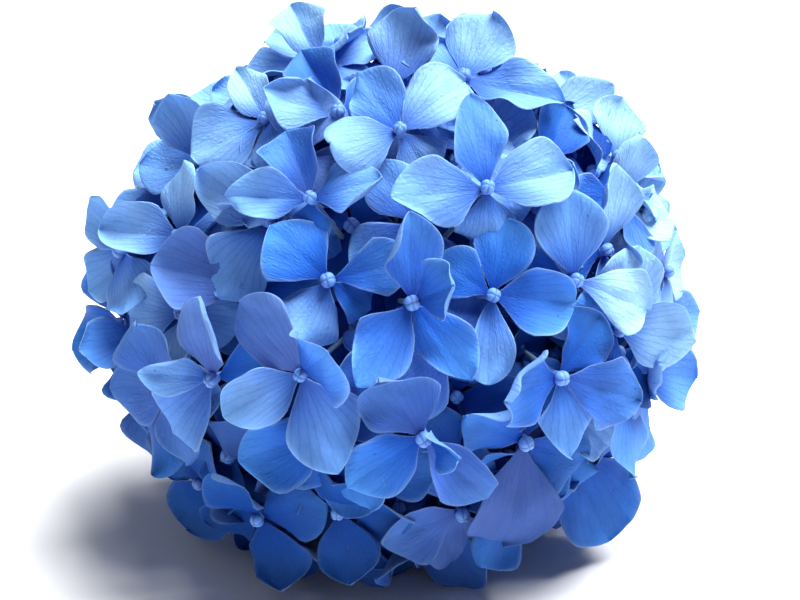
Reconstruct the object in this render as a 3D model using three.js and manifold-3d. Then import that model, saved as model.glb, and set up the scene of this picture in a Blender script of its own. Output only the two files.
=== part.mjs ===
// A mophead bloom of bigleaf hydrangea, cut with a short stem and laid on its side.
//
// A green stem forks inside the head into eleven rays. Each ray carries one spray: a fan of pale
// stalks, each ending in a floret with a small round bud and four broad sepals. The sepals close up
// into a ball that is a little flatter from front to back than it is wide, and those underneath
// are pressed flat where the head rests.
//
// Lengths are in millimetres and angles in degrees. +Z is up, z = 0 is the surface that the
// bloom lies on, and the head faces -Y. The origin is the middle of its footprint.

import * as THREE from "three";
import { mergeVertices } from "three/addons/utils/BufferGeometryUtils.js";
import Module from "manifold-3d";

const wasm = await Module();
wasm.setup();

// The head: an ellipsoid through the florets' buds, and how it lies.
const HEAD = new THREE.Vector3(80, 75, 62); // from its centre to a bud: sideways, up its face, out
const HEAD_HEIGHT = 77; // from the surface up to the head's centre
const HEAD_TILT = 24; // the axis points this far above the horizontal
const SKIRT = 122; // buds reach this far round from the pole
const FACING_SHARE = 0.74; // a floret turns out by this share of its own angle from the pole

// The florets
const FLORETS = 112;
const SPOTS = 1500; // places on the head that the florets are chosen from
const SEPAL_LENGTH = 24.5;
const SEPAL_WIDTH = 22.5;
const SEPAL_THICK = 0.8;
const WIDEST_AT = 0.62; // share of a sepal's length
const BLUNTNESS = 0.72; // under 1 rounds the tip
const CLAW = 0.85; // a sepal's half width never grows past this share of the distance from the bud
const HUB_RADIUS = 1.8; // where the four sepals meet round the bud
const BUD_RADIUS = 2.4;
const BUD_WIDEST = 1.7; // above the sepals' roots
const BUD_TOP = 3.5;
const STALK_FOOT = 0.5; // a stalk's radius inside the knuckle

// The ranges that each floret and sepal is drawn from, and the seed of the draw
const SEED = 20240611;
const LIFTS = [-7, 3]; // of a bud over the ellipsoid
const SIZES = [0.88, 1.08]; // of a floret, as a share
const OPENS = [-10, 22]; // of a sepal over its floret's plane
const TURN_ERROR = 9; // from a right angle to the next sepal
const LENGTHS = [0.93, 1.07]; // shares of the length and the width of a sepal of its floret
const WIDTHS = [0.92, 1.08];
const CURLS = [-26, 10]; // how far a sepal turns up from its root to its tip
const CUPS = [-0.45, 0.5]; // over 0 the sides are up
const TWISTS = [-22, 22];

// Room between sepals that don't belong together
const CLEAR = 0.25; // round each one
const FREE_FROM = 0.22; // the share of a sepal, from its root, that needs no room
const OPENINGS = [0, -7, -14, 7, -21, 14, -28, 21, -35, 28, -42, 35, 42, 49, 56]; // tried in turn
const LEAST_OPEN = -40;
const MOST_OPEN = 78;
const SMALLER = [1, 0.9, 0.8, 0.7, 0.6, 0.5];
const REACHABLE = 4; // sprays that a floret may join

// What bounds the sepals: the ellipsoid of the head's outline, and the surface under it, where a
// sepal is pressed flat unless it reaches too deep.
const OUTLINE = new THREE.Vector3(95.5, 90, 88);
const PRESS = 4;
const HUB_LOWEST = 6;

// The stem and its rays
const STEM_TOP = -34; // on the head's axis, from its centre
const STEM_REACH = 121; // how far behind its top it is cut
const STEM_DRIFT = 9; // how far to one side it is cut
const STEM_RADIUS = 3.4;
const STEM_NODE_RADIUS = 5.2; // the swelling where a pair of leaves was taken off
const STEM_NODE_AT = 0.62; // share of the stem's length
const STEM_NODE_SPAN = 0.0625; // share of the stem's length that it swells over
const STEM_END_SLOPE = 7; // at the cut, below the horizontal
const STEM_BEND = 44; // length of the curve's handles
const CUT_SLANT = 0.8; // rise of the cut across the stem's radius
const STEM_SIDES = 10;
const STEM_STATIONS = 16;
const STEM_SINK = 0.75; // how much lower the cut end is than its radius, so that its rim lies flat
const RAY_RADIUS = 1.9;
const RAY_TIP_RADIUS = 1.6;
const RAY_SIDES = 6;
const RAY_REACH = 0.45; // share of the way from the head's centre to its buds
const KNUCKLE_RADIUS = 3; // where a spray's stalks part, widest
const KNUCKLE_HALF = 2.4; // half its length
const SEAT_GAP = 0.3;

// Each spray's place on the head: how far off the pole, and how far round clockwise from the top.
const RAY_RINGS = [
  { off: 0, count: 1, first: 0 },
  { off: 62, count: 5, first: 36 },
  { off: 112, count: 5, first: 0 },
];

// The florets that show from the front, each as [x, y, lift, size, turns, opens, longs, wides]. x
// is to the right and y up from the head's axis, for the bud's place across the face. lift raises
// the bud out of the ellipsoid, or sinks it. turns are the four sepals' directions, clockwise from
// the top, opens their rise over the floret's plane, and longs and wides how large each is beside
// SEPAL_LENGTH and SEPAL_WIDTH.
const FRONT_FLORETS = [
  [5, -1, 5, 1, [358, 65, 142, 214], [10, 48, 4, 4], [1.05, 0.9, 1, 1.02], [0.85, 0.72, 0.78, 0.85]],
  [24, 28, 5, 1.08, [76, 172, 262, 353], [4, -24, 10, 6], [0.97, 0.75, 1.06, 0.97], [0.95, 0.75, 0.85, 0.65]],
  [2, 43, 5, 1.04, [46, 136, 250, 332], [6, -36, 16, -6], [0.98, 0.65, 0.76, 1], [0.92, 1.1, 1.05, 0.75]],
  [-23, -19, 5, 1.06, [52, 158, 242, 318], [50, 4, 8, 10], [0.95, 1, 0.96, 0.94], [1, 0.98, 0.95, 0.92]],
  [8, -35, 5, 1.05, [78, 136, 233, 327], [60, 6, 4, 10], [0.75, 1, 0.9, 0.98], [0.65, 0.88, 0.84, 1]],
  [43, -20, 5, 1, [42, 105, 162, 261], [-4, 6, 10, 24], [0.85, 1.02, 0.93, 1.04], [0.95, 0.92, 0.75, 1.08]],
  [-21, 26, 3, 1, [75, 185, 271, 336], [8, -38, 8, 8], [0.76, 0.55, 0.88, 0.92], [0.7, 0.6, 0.76, 1.1]],
  [45, 40, -3, 1.05, [30, 118, 210, 300], [30, 6, -14, -10], [0.85, 0.95, 0.7, 0.7], [1, 0.95, 0.8, 0.8]],
  [-47, -21, 3, 1, [80, 227, 286, 10], [-20, 4, 36, 26], [0.65, 1, 0.85, 1], [0.8, 1, 0.6, 0.85]],
  [49, 5, 1, 1.08, [107, 152, 272, 352], [8, -20, -20, 20], [1.04, 0.75, 0.7, 0.96], [0.92, 0.8, 0.7, 0.84]],
  [-61, -4, 1, 1, [0, 95, 190, 280], [-14, -18, 4, 6], [0.75, 0.7, 0.85, 0.9], [0.9, 0.8, 0.9, 0.92]],
  [27, 1, -1, 1, [12, 95, 183, 305], [4, -2, 2, -6], [0.82, 0.96, 1.02, 0.72], [0.75, 0.98, 0.62, 0.78]],
  [-17, 5, -1, 1, [75, 126, 208, 313], [-6, -10, 4, 4], [0.92, 0.6, 0.76, 0.9], [0.75, 0.7, 1.2, 1.08]],
  [20, 62, 0, 1.1, [30, 113, 196, 312], [24, 0, -20, 20], [0.8, 1, 0.7, 0.8], [0.9, 0.85, 0.8, 0.9]],
  [-21, 67, 0, 1, [50, 120, 260, 326], [2, -14, 4, 40], [0.98, 0.7, 0.95, 0.8], [0.9, 0.7, 0.72, 1]],
  [64, 29, 0, 1, [8, 108, 168, 262], [20, 12, -14, -10], [0.8, 1, 0.8, 0.8], [0.8, 1.05, 0.9, 0.8]],
  [-15, 52, -2, 1, [50, 142, 268, 328], [-16, -20, 32, 8], [0.9, 0.7, 0.95, 1], [0.8, 0.7, 0.9, 0.92]],
  [-36, 51, -2, 1.05, [52, 142, 235, 322], [-10, -16, 10, 16], [0.9, 0.8, 0.95, 0.75], [0.9, 0.8, 0.9, 0.55]],
  [61, 14, -3, 1.05, [0, 78, 170, 262], [36, 2, -6, -16], [1, 1, 1, 1], [0.9, 0.9, 0.9, 0.9]],
  [65, -9, -3, 1.1, [10, 96, 190, 280], [-6, 6, -6, -10], [0.95, 0.9, 1, 0.9], [0.9, 0.9, 0.9, 0.9]],
  [-61, 18, -3, 1, [0, 90, 180, 272], [20, -10, -16, 6], [0.9, 0.9, 0.9, 1], [0.8, 0.9, 0.9, 0.9]],
  [0, 71, -4, 1, [12, 76, 245, 328], [30, 8, -10, 16], [0.7, 0.9, 0.85, 0.8], [0.45, 0.8, 0.9, 0.85]],
  [20, -61, -2, 1.05, [75, 172, 250, 345], [-6, -4, -6, -20], [1, 1.05, 0.9, 0.9], [0.95, 0.95, 0.9, 0.9]],
  [2, -61, -5, 1, [15, 105, 203, 285], [-20, -10, 0, -4], [0.9, 0.9, 1, 0.9], [0.9, 0.9, 1, 0.9]],
  [-42, 4, -6, 1.1, [20, 112, 205, 281], [-16, -20, -20, 8], [0.9, 0.9, 0.9, 0.98], [0.9, 0.9, 0.9, 1.1]],
  [38, -41, -4, 1.12, [20, 112, 177, 296], [-20, -4, 4, 14], [0.9, 0.95, 1.04, 0.95], [0.9, 0.9, 1.18, 0.75]],
  [-35, 22, -5, 1.08, [30, 130, 215, 306], [-20, -20, 4, 10], [1, 0.9, 1, 1], [0.9, 0.9, 0.9, 0.9]],
  [-48, -46, -5, 1, [28, 118, 208, 298], [-20, -6, 4, -10], [0.9, 1, 1, 0.9], [0.9, 0.9, 0.9, 0.9]],
  [59, -48, -7, 1.1, [60, 144, 240, 330], [-6, 2, -6, -20], [0.95, 1.02, 0.9, 0.9], [0.9, 1.1, 0.9, 0.9]],
  [-30, -46, -9, 1, [25, 115, 205, 295], [-20, -6, 4, -6], [1, 0.95, 1, 1], [0.9, 0.9, 0.9, 0.9]],
  [19, -29, -9, 0.9, [15, 105, 200, 290], [-6, -6, -6, 4], [1, 1, 1, 1], [0.9, 0.9, 0.9, 0.9]],
  [55, -34, -9, 0.85, [35, 125, 215, 305], [-6, 10, -10, -16], [1, 1, 1, 1], [0.9, 0.9, 0.9, 0.9]],
  [-12, 22, -11, 0.85, [30, 112, 200, 300], [-6, -6, -6, -6], [1, 1, 1, 1], [0.9, 0.9, 0.9, 0.9]],
];

const radians = THREE.MathUtils.degToRad;

// The next number of one seeded stream, between low and high.
const seeded = { state: SEED };
function draw(low, high) {
  seeded.state = (seeded.state * 1664525 + 1013904223) % 4294967296;
  return low + ((high - low) * seeded.state) / 4294967296;
}

// The head's own frame: X to the right as seen from the front, Y up its face, Z out along its axis.
const headFrame = new THREE.Matrix4()
  .makeTranslation(0, 0, HEAD_HEIGHT)
  .multiply(new THREE.Matrix4().makeRotationX(radians(90 - HEAD_TILT)));

const modelToHead = headFrame.clone().invert();

// A direction from the head's centre: off degrees from its pole, round degrees clockwise from the top.
function toward(off, round) {
  const [o, r] = [radians(off), radians(round)];
  return new THREE.Vector3(Math.sin(o) * Math.sin(r), Math.sin(o) * Math.cos(r), Math.cos(o));
}

// Solids

// A closed solid from points and triangles, by number.
function solidOf(points, triangles) {
  const geometry = new THREE.BufferGeometry();
  geometry.setAttribute(
    "position",
    new THREE.Float32BufferAttribute(points.flatMap((p) => p.toArray()), 3),
  );
  geometry.setIndex(triangles.flat());
  return solidOfGeometry(geometry);
}

function solidOfGeometry(geometry) {
  geometry.deleteAttribute("normal");
  geometry.deleteAttribute("uv");
  const merged = mergeVertices(geometry);
  return new wasm.Manifold(
    new wasm.Mesh({
      numProp: 3,
      vertProperties: new Float32Array(merged.attributes.position.array),
      triVerts: new Uint32Array(merged.index.array),
    }),
  );
}

// A round bar through rings of points, tapered from ring to ring, with flat ends.
function bar(path, radii, sides, slant = 0) {
  const points = [];
  const triangles = [];
  path.forEach((middle, i) => {
    const along = path[Math.min(i + 1, path.length - 1)].clone();
    along.sub(path[Math.max(i - 1, 0)]).normalize();
    const side = new THREE.Vector3(1, 0, 0);
    if (Math.abs(along.x) > 0.9) side.set(0, 1, 0);
    side.addScaledVector(along, -side.dot(along)).normalize();
    const up = side.clone().cross(along);
    const last = i === path.length - 1;
    for (let k = 0; k < sides; k++) {
      const turn = (2 * Math.PI * (k + 0.5)) / sides;
      const point = middle.clone();
      point.addScaledVector(side, radii[i] * Math.cos(turn));
      point.addScaledVector(up, radii[i] * Math.sin(turn));
      if (last) point.addScaledVector(along, slant * radii[i] * Math.sin(turn));
      points.push(point);
    }
  });
  const ring = (i, k) => i * sides + (k % sides);
  for (let i = 0; i + 1 < path.length; i++)
    for (let k = 0; k < sides; k++) {
      triangles.push([ring(i, k), ring(i, k + 1), ring(i + 1, k)]);
      triangles.push([ring(i, k + 1), ring(i + 1, k + 1), ring(i + 1, k)]);
    }
  const end = path.length - 1;
  for (let k = 1; k + 1 < sides; k++) {
    triangles.push([ring(0, 0), ring(0, k + 1), ring(0, k)]);
    triangles.push([ring(end, 0), ring(end, k), ring(end, k + 1)]);
  }
  const made = solidOf(points, triangles);
  if (made.volume() > 0) return made;
  return solidOf(points, triangles.map(([a, b, c]) => [a, c, b]));
}

// Sepals

// A sepal's half width at a share of its length: a straight claw, widest past the middle, blunt at
// the tip.
function halfWidth(sepal, along) {
  const power = Math.log(0.5) / Math.log(WIDEST_AT);
  const swell = Math.max(Math.sin(Math.PI * Math.min(along, 1) ** power), 0);
  return Math.min(0.5 * sepal.width * swell ** BLUNTNESS, sepal.claw * sepal.length * along);
}

// A point of a sepal's middle surface, and the way the surface faces there. along runs from 0 at
// the root to 1 at the tip, and over is the distance from the midrib in millimetres.
function sepalPoint(sepal, along, over) {
  const { hub, out, ahead, side, length, opening, curl, cup, twist } = sepal;
  const slope = opening + curl * along;
  const reach = (length / curl) * (Math.sin(slope) - Math.sin(opening));
  const rise = (length / curl) * (Math.cos(opening) - Math.cos(slope));
  const facing = out.clone().multiplyScalar(Math.cos(slope));
  facing.addScaledVector(ahead, -Math.sin(slope));
  const point = hub.clone();
  point.addScaledVector(ahead, reach);
  point.addScaledVector(out, rise);
  point.addScaledVector(side, over * Math.cos(twist * along));
  point.addScaledVector(facing, over * Math.sin(twist * along) + (cup * over * over) / sepal.width);
  return { point, facing };
}

// A sepal is a sheet of eight points on each face: two at its root, three where it is widest and
// three at its end. Both faces are split into triangles alike.
const END_AT = 0.9; // the share of a sepal's length where its end's corners are
const SHEET = [
  [0, 1, 3],
  [0, 3, 2],
  [1, 4, 3],
  [2, 3, 6],
  [2, 6, 5],
  [3, 4, 7],
  [3, 7, 6],
];
const SHEET_EDGE = [1, 4, 7, 6, 5, 2, 0];

// The places of a sheet's points past its root. room widens it.
function sheetPlaces(sepal, room) {
  const widest = halfWidth(sepal, WIDEST_AT) + room;
  const end = halfWidth(sepal, END_AT) + room;
  return [
    [WIDEST_AT, -widest],
    [WIDEST_AT, 0],
    [WIDEST_AT, widest],
    [END_AT, -end],
    [1 + room / sepal.length, 0],
    [END_AT, end],
  ];
}

// The upper and the lower face's points at some places of a sepal.
function twoFaces(sepal, places, thick) {
  const upper = [];
  const lower = [];
  for (const [along, over] of places) {
    const { point, facing } = sepalPoint(sepal, along, over);
    upper.push(point.clone().addScaledVector(facing, thick / 2));
    lower.push(point.clone().addScaledVector(facing, -thick / 2));
  }
  return { upper, lower };
}

// The triangles of a sheet from the numbers of its points, with a wall along the edge named.
function sheetTriangles(upper, lower, edge) {
  const triangles = SHEET.flatMap(([a, b, c]) => [
    [upper[a], upper[b], upper[c]],
    [lower[a], lower[c], lower[b]],
  ]);
  for (let i = 0; i + 1 < edge.length; i++) {
    const [a, b] = [edge[i], edge[i + 1]];
    triangles.push([upper[b], upper[a], lower[a]], [upper[b], lower[a], lower[b]]);
  }
  return triangles;
}

// A sepal on its own, from a share of its length on, with room all round it. strays is how far it
// goes past what bounds it.
function roomySepal(sepal, from) {
  const root = halfWidth(sepal, from) + CLEAR;
  const places = [[from, -root], [from, root], ...sheetPlaces(sepal, CLEAR)];
  const { upper, lower } = twoFaces(sepal, places, SEPAL_THICK + 2 * CLEAR);
  const past = upper.map((point) => {
    const share = point.clone().applyMatrix4(modelToHead).divide(OUTLINE).length();
    return Math.max((share - 1) * OUTLINE.x, -point.z - PRESS);
  });
  upper.forEach((point, i) => pressDown(point, lower[i], SEPAL_THICK + 2 * CLEAR));
  const over = places.map((_, i) => i);
  const under = over.map((i) => i + over.length);
  const solid = solidOf([...upper, ...lower], sheetTriangles(over, under, [0, ...SHEET_EDGE]));
  return { solid, strays: Math.max(0, ...past) };
}

// What would reach under the surface is pressed flat on it, with its thickness kept.
function pressDown(a, b, thick) {
  const [low, high] = a.z < b.z ? [a, b] : [b, a];
  if (low.z >= 0) return;
  low.z = 0;
  high.z = Math.max(high.z, thick);
}

// Where the florets sit

function ruleFloret(way) {
  const first = draw(0, 360);
  return {
    way,
    lift: draw(...LIFTS),
    size: draw(...SIZES),
    turns: [0, 90, 180, 270].map((turn) => first + turn + draw(-TURN_ERROR, TURN_ERROR)),
    opens: [0, 1, 2, 3].map(() => draw(...OPENS)),
    longs: [1, 1, 1, 1],
    wides: [1, 1, 1, 1],
  };
}

// Each further floret takes the spot that is furthest from all the others.
function allFlorets() {
  const golden = 180 * (3 - Math.sqrt(5));
  const lowest = Math.cos(radians(SKIRT));
  const spots = [];
  for (let i = 0; i < SPOTS; i++) {
    const off = THREE.MathUtils.radToDeg(Math.acos(1 - ((1 - lowest) * (i + 0.5)) / SPOTS));
    const way = toward(off, golden * i);
    spots.push({ way, at: way.clone().multiply(HEAD), room: Infinity });
  }
  const taken = [];
  const take = (floret) => {
    const at = floret.way.clone().multiply(HEAD);
    for (const spot of spots) spot.room = Math.min(spot.room, spot.at.distanceTo(at));
    taken.push(floret);
  };
  for (const [x, y, lift, size, turns, opens, longs, wides] of FRONT_FLORETS) {
    const way = new THREE.Vector3(x, y, 0).divide(HEAD);
    way.z = Math.sqrt(1 - way.lengthSq());
    take({ way, lift, size, turns, opens, longs, wides });
  }
  while (taken.length < FLORETS) {
    const roomiest = spots.reduce((a, b) => (b.room > a.room ? b : a));
    take(ruleFloret(roomiest.way));
  }
  return taken;
}

// Adds to a floret its bud's place, the way it faces and its four sepals, in the model's frame.
function setOut(floret) {
  const { way, lift, size } = floret;
  const off = THREE.MathUtils.radToDeg(Math.acos(way.z));
  const round = THREE.MathUtils.radToDeg(Math.atan2(way.x, way.y));
  const facing = toward(off * FACING_SHARE, round);
  const at = way.clone().multiply(HEAD).addScaledVector(facing, lift);
  const out = facing.clone().transformDirection(headFrame);
  const hub = at.clone().applyMatrix4(headFrame);
  hub.z = Math.max(hub.z, HUB_LOWEST);
  const top = new THREE.Vector3(0, 1, 0);
  top.addScaledVector(facing, -top.dot(facing)).normalize();
  const right = top.clone().cross(facing);
  const sepals = floret.turns.map((turn, i) => {
    const [before, after] = [3, 1].map((k) => Math.abs(floret.turns[(i + k) % 4] - turn) % 360);
    const step = Math.min(before, 360 - before, after, 360 - after);
    const ahead = top.clone().multiplyScalar(Math.cos(radians(turn)));
    ahead.addScaledVector(right, Math.sin(radians(turn)));
    ahead.transformDirection(headFrame);
    return {
      hub,
      out,
      ahead,
      side: ahead.clone().cross(out),
      length: SEPAL_LENGTH * size * floret.longs[i] * draw(...LENGTHS),
      width: SEPAL_WIDTH * size * floret.wides[i] * draw(...WIDTHS),
      claw: Math.min(CLAW, Math.tan(radians(step / 2))),
      opening: radians(floret.opens[i]),
      curl: radians(draw(...CURLS)),
      cup: draw(...CUPS),
      twist: radians(draw(...TWISTS)),
    };
  });
  return { ...floret, at, hub, out, sepals };
}

// The stem, with its rays, and the sprays that they carry

const stemTop = new THREE.Vector3(0, 0, STEM_TOP).applyMatrix4(headFrame);

function allSprays() {
  return RAY_RINGS.flatMap(({ off, count, first }) =>
    Array.from({ length: count }, (_, i) => {
      const aim = toward(off, first + (360 * i) / count).multiply(HEAD);
      const fork = aim.clone().multiplyScalar(RAY_REACH).applyMatrix4(headFrame);
      const along = fork.clone().sub(stemTop).normalize();
      const seat = fork.clone().addScaledVector(along, -KNUCKLE_HALF);
      return { aim, fork, along, seat, florets: [] };
    }),
  );
}

function raySolid({ along, seat }) {
  const tip = seat.clone().addScaledVector(along, -SEAT_GAP);
  return bar([stemTop, tip], [RAY_RADIUS, RAY_TIP_RADIUS], RAY_SIDES);
}

function knuckleSolid({ fork, along, seat }) {
  const far = fork.clone().addScaledVector(along, KNUCKLE_HALF);
  return bar([seat, far], [RAY_TIP_RADIUS, KNUCKLE_RADIUS], RAY_SIDES);
}

// The stem runs back from the head, bends down and lies on its cut end, with a swelling on the way.
function stemSolid(sprays) {
  const back = new THREE.Vector3(0, 0, -1).transformDirection(headFrame);
  const slope = radians(STEM_END_SLOPE);
  const lie = new THREE.Vector3(0, Math.cos(slope), -Math.sin(slope));
  const end = new THREE.Vector3(STEM_DRIFT, stemTop.y + STEM_REACH, STEM_RADIUS - STEM_SINK);
  const line = new THREE.CubicBezierCurve3(
    stemTop,
    stemTop.clone().addScaledVector(back, STEM_BEND),
    end.clone().addScaledVector(lie, -STEM_BEND),
    end,
  );
  const path = line.getSpacedPoints(STEM_STATIONS);
  const radii = path.map((_, i) => {
    const away = (i / STEM_STATIONS - STEM_NODE_AT) / STEM_NODE_SPAN;
    return STEM_RADIUS + (STEM_NODE_RADIUS - STEM_RADIUS) * Math.exp(-away * away);
  });
  const stem = bar(path, radii, STEM_SIDES, CUT_SLANT);
  return wasm.Manifold.union([stem, ...sprays.map(raySolid)]).trimByPlane([0, 0, 1], 0);
}

// A floret as one closed skin: the bud over its hub, the sheets of the sepals given, and the stalk
// down to the spray's fork. A side without a sepal is closed by a wall. room thickens the rest.
function floretSolid(floret, sepals, room = 0) {
  const { hub, out, spray } = floret;
  const stalk = hub.clone().sub(spray.fork).normalize();
  const points = [];
  const ring = (place) => {
    const first = points.length;
    floret.sepals.forEach((sepal, i) => {
      const next = floret.sepals[(i + 1) % 4];
      const between = sepal.ahead.clone().add(next.ahead).normalize();
      points.push(place(between));
    });
    return [0, 1, 2, 3].map((i) => first + i);
  };
  const round = (radius, rise) => (between) =>
    hub.clone().addScaledVector(between, radius).addScaledVector(out, rise);
  const bud = ring(round(BUD_RADIUS + room, BUD_WIDEST));
  const upper = ring(round(HUB_RADIUS + room, SEPAL_THICK / 2));
  const lower = ring(round(HUB_RADIUS + room, -SEPAL_THICK / 2));
  const foot = ring((between) => {
    const square = between.clone().addScaledVector(stalk, -between.dot(stalk)).normalize();
    return spray.fork.clone().addScaledVector(square, STALK_FOOT + room);
  });
  const top = points.push(hub.clone().addScaledVector(out, BUD_TOP + room)) - 1;

  const triangles = [
    [foot[0], foot[1], foot[2]],
    [foot[0], foot[2], foot[3]],
  ];
  for (let i = 0; i < 4; i++) {
    const next = (i + 1) % 4;
    triangles.push([top, bud[next], bud[i]]);
    triangles.push([bud[i], bud[next], upper[next]], [bud[i], upper[next], upper[i]]);
    triangles.push([lower[i], lower[next], foot[next]], [lower[i], foot[next], foot[i]]);
    const sepal = sepals[next];
    if (!sepal) {
      triangles.push([upper[i], upper[next], lower[next]], [upper[i], lower[next], lower[i]]);
      continue;
    }
    const faces = twoFaces(sepal, sheetPlaces(sepal, 0), SEPAL_THICK);
    faces.upper.forEach((point, k) => pressDown(point, faces.lower[k], SEPAL_THICK));
    const first = points.length;
    points.push(...faces.upper, ...faces.lower);
    const over = faces.upper.map((_, k) => first + k);
    const under = over.map((id) => id + over.length);
    triangles.push(
      ...sheetTriangles(
        [upper[i], upper[next], ...over],
        [lower[i], lower[next], ...under],
        SHEET_EDGE,
      ),
    );
  }
  return solidOf(points, triangles);
}

// Growing the head

// Something that has grown: its solid and its box.
function obstacle(solid) {
  const { min, max } = solid.boundingBox();
  return { solid, box: new THREE.Box3(new THREE.Vector3(...min), new THREE.Vector3(...max)) };
}

// How far a sepal is from a fit: past its bounds, or in other florets, or in its own past the claws.
function fault(sepal, others, own) {
  const whole = roomySepal(sepal, 0);
  const past = roomySepal(sepal, FREE_FROM);
  let shared = whole.strays;
  for (const [{ solid }, near] of [[whole, others], [past, own]]) {
    const { box } = obstacle(solid);
    for (const other of near)
      if (other.box.intersectsBox(box)) shared += solid.intersect(other.solid).volume();
  }
  return shared;
}

// A sepal opens as it would alone, or as near to that as what has grown before it allows. wrong is
// above 0 where it finds no room at all.
function openSepal(sepal, others, own) {
  let best = null;
  for (const scale of SMALLER)
    for (const change of OPENINGS) {
      const opening = sepal.opening + radians(change);
      if (opening < radians(LEAST_OPEN) || opening > radians(MOST_OPEN)) continue;
      const { length, width } = sepal;
      const tried = { ...sepal, opening, length: length * scale, width: width * scale };
      const wrong = fault(tried, others, own);
      if (!best || wrong < best.wrong) best = { sepal: tried, wrong };
      if (wrong === 0) return best;
    }
  return best;
}

// A floret joins the nearest spray that its stalk can reach without touching another spray's, or
// is left out.
function joinSpray(floret, sprays, others) {
  const nearest = [...sprays].sort((a, b) => floret.at.distanceTo(a.aim) - floret.at.distanceTo(b.aim));
  for (const spray of nearest.slice(0, REACHABLE)) {
    const joined = { ...floret, spray };
    const post = obstacle(floretSolid(joined, [], CLEAR));
    const touched = others.some(
      (other) =>
        other.spray !== spray &&
        other.box.intersectsBox(post.box) &&
        other.solid.intersect(post.solid).volume() > 0,
    );
    if (!touched) return { ...joined, post: { ...post, spray } };
  }
  return null;
}

const sprays = allSprays();
const stem = stemSolid(sprays);
const grown = [obstacle(stem)];
const florets = [];
for (const floret of allFlorets().map(setOut)) {
  const joined = joinSpray(floret, sprays, grown);
  if (!joined) continue;
  florets.push(joined);
  grown.push(joined.post);
}
for (const floret of [...florets].sort((a, b) => b.lift - a.lift)) {
  const others = grown.filter((other) => other !== floret.post);
  const own = [floret.post];
  const opened = floret.sepals.map((sepal) => {
    const { sepal: found, wrong } = openSepal(sepal, others, own);
    if (wrong > 0) return null;
    own.push(obstacle(roomySepal(found, FREE_FROM).solid));
    grown.push(obstacle(roomySepal(found, 0).solid));
    return found;
  });
  floret.spray.florets.push(floretSolid(floret, opened));
}

// The bloom

const materials = {
  sepals: new THREE.MeshStandardMaterial({ color: 0x6c96e4, roughness: 0.7, metalness: 0 }),
  stem: new THREE.MeshStandardMaterial({ color: 0x7c9a4e, roughness: 0.6, metalness: 0 }),
};

function meshOf(name, solid, material) {
  const { numProp, vertProperties, triVerts } = solid.getMesh();
  const geometry = new THREE.BufferGeometry();
  geometry.setAttribute("position", new THREE.BufferAttribute(vertProperties, numProp));
  geometry.setIndex(new THREE.BufferAttribute(triVerts, 1));
  const mesh = new THREE.Mesh(geometry, material);
  mesh.name = name;
  return mesh;
}

const bloom = new THREE.Group();
bloom.add(meshOf("stem_and_rays", stem, materials.stem));
sprays.forEach((spray, i) => {
  const solid = wasm.Manifold.union([knuckleSolid(spray), ...spray.florets]);
  bloom.add(meshOf(`spray_${String(i + 1).padStart(2, "0")}`, solid, materials.sepals));
});

const box = new THREE.Box3().setFromObject(bloom);
const middle = box.getCenter(new THREE.Vector3());
bloom.position.set(-middle.x, -middle.y, -box.min.z);

export default bloom;
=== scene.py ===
"""A mophead bloom of bigleaf hydrangea, cut with a short stem and laid on its side.

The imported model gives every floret's place and how each of its sepals opened. This script lays the
florets out by the same rule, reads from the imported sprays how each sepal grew, and makes each one
again as a fine, thin, ruffled and veined sheet. Sizes are in millimetres and angles in degrees
unless a name says otherwise; Blender's own units are metres.
"""

import logging
import math
from dataclasses import dataclass, field
from enum import Enum

import bpy
import numpy as np
from mathutils import Matrix, Vector
from mathutils.kdtree import KDTree


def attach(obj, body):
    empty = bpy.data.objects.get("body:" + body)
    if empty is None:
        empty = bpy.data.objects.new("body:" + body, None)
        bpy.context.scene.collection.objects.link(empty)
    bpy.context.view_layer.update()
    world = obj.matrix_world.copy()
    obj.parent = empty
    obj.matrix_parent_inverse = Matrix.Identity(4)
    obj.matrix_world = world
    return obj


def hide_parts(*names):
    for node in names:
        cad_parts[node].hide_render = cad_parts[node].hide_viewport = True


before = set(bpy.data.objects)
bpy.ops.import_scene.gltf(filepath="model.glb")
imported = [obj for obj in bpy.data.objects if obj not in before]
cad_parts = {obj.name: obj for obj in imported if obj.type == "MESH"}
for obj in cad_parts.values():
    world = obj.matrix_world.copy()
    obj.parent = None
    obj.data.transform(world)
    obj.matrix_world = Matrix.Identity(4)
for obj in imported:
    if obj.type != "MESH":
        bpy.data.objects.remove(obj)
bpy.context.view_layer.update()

logging.basicConfig(level=logging.INFO, format="%(message)s")
log = logging.getLogger("hydrangea")

MM = 0.001
BODY = "root"
SEPAL_LENGTH = 24.5  # from the root to the tip of a sepal of common size
VEIN_SPACING = 0.13  # between two veins, in the coordinate that fans out from a sepal's root
Socket = bpy.types.NodeSocket
Tree = bpy.types.NodeTree


class Slot(Enum):
    """The record's material slots."""

    STEM = "stem"
    SEPALS = "sepals"


class Face(Enum):
    """The two faces of a sepal."""

    UPPER = 1
    LOWER = -1


class Form(Enum):
    """How a sepal is bent. Its near side is the one clockwise from its length, seen from outside."""

    FLAT = "F"
    SPOON = "S"  # both sides up
    SADDLE = "D"  # both sides down and the tip up
    RIDGED = "R"  # folded down along the midrib
    TROUGH = "T"  # folded up along the midrib
    NEAR_ROLLED = "N"  # the near margin rolled up and over
    FAR_ROLLED = "O"  # the far margin rolled up and over
    NODDING = "B"  # the tip bent down
    RISING = "U"  # the tip bent up
    NEAR_UP = "X"  # the near side up and the far side down
    FAR_UP = "Y"  # the far side up and the near side down
    POINTED = "P"  # a sharp tip
    NARROW = "K"  # a slim waist and a blunt end
    SQUARE = "Q"  # a broad end with corners
    FAR_LOBED = "L"  # the far side broadest near its root
    NEAR_LOBED = "M"  # the near side broadest near its root


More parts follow.
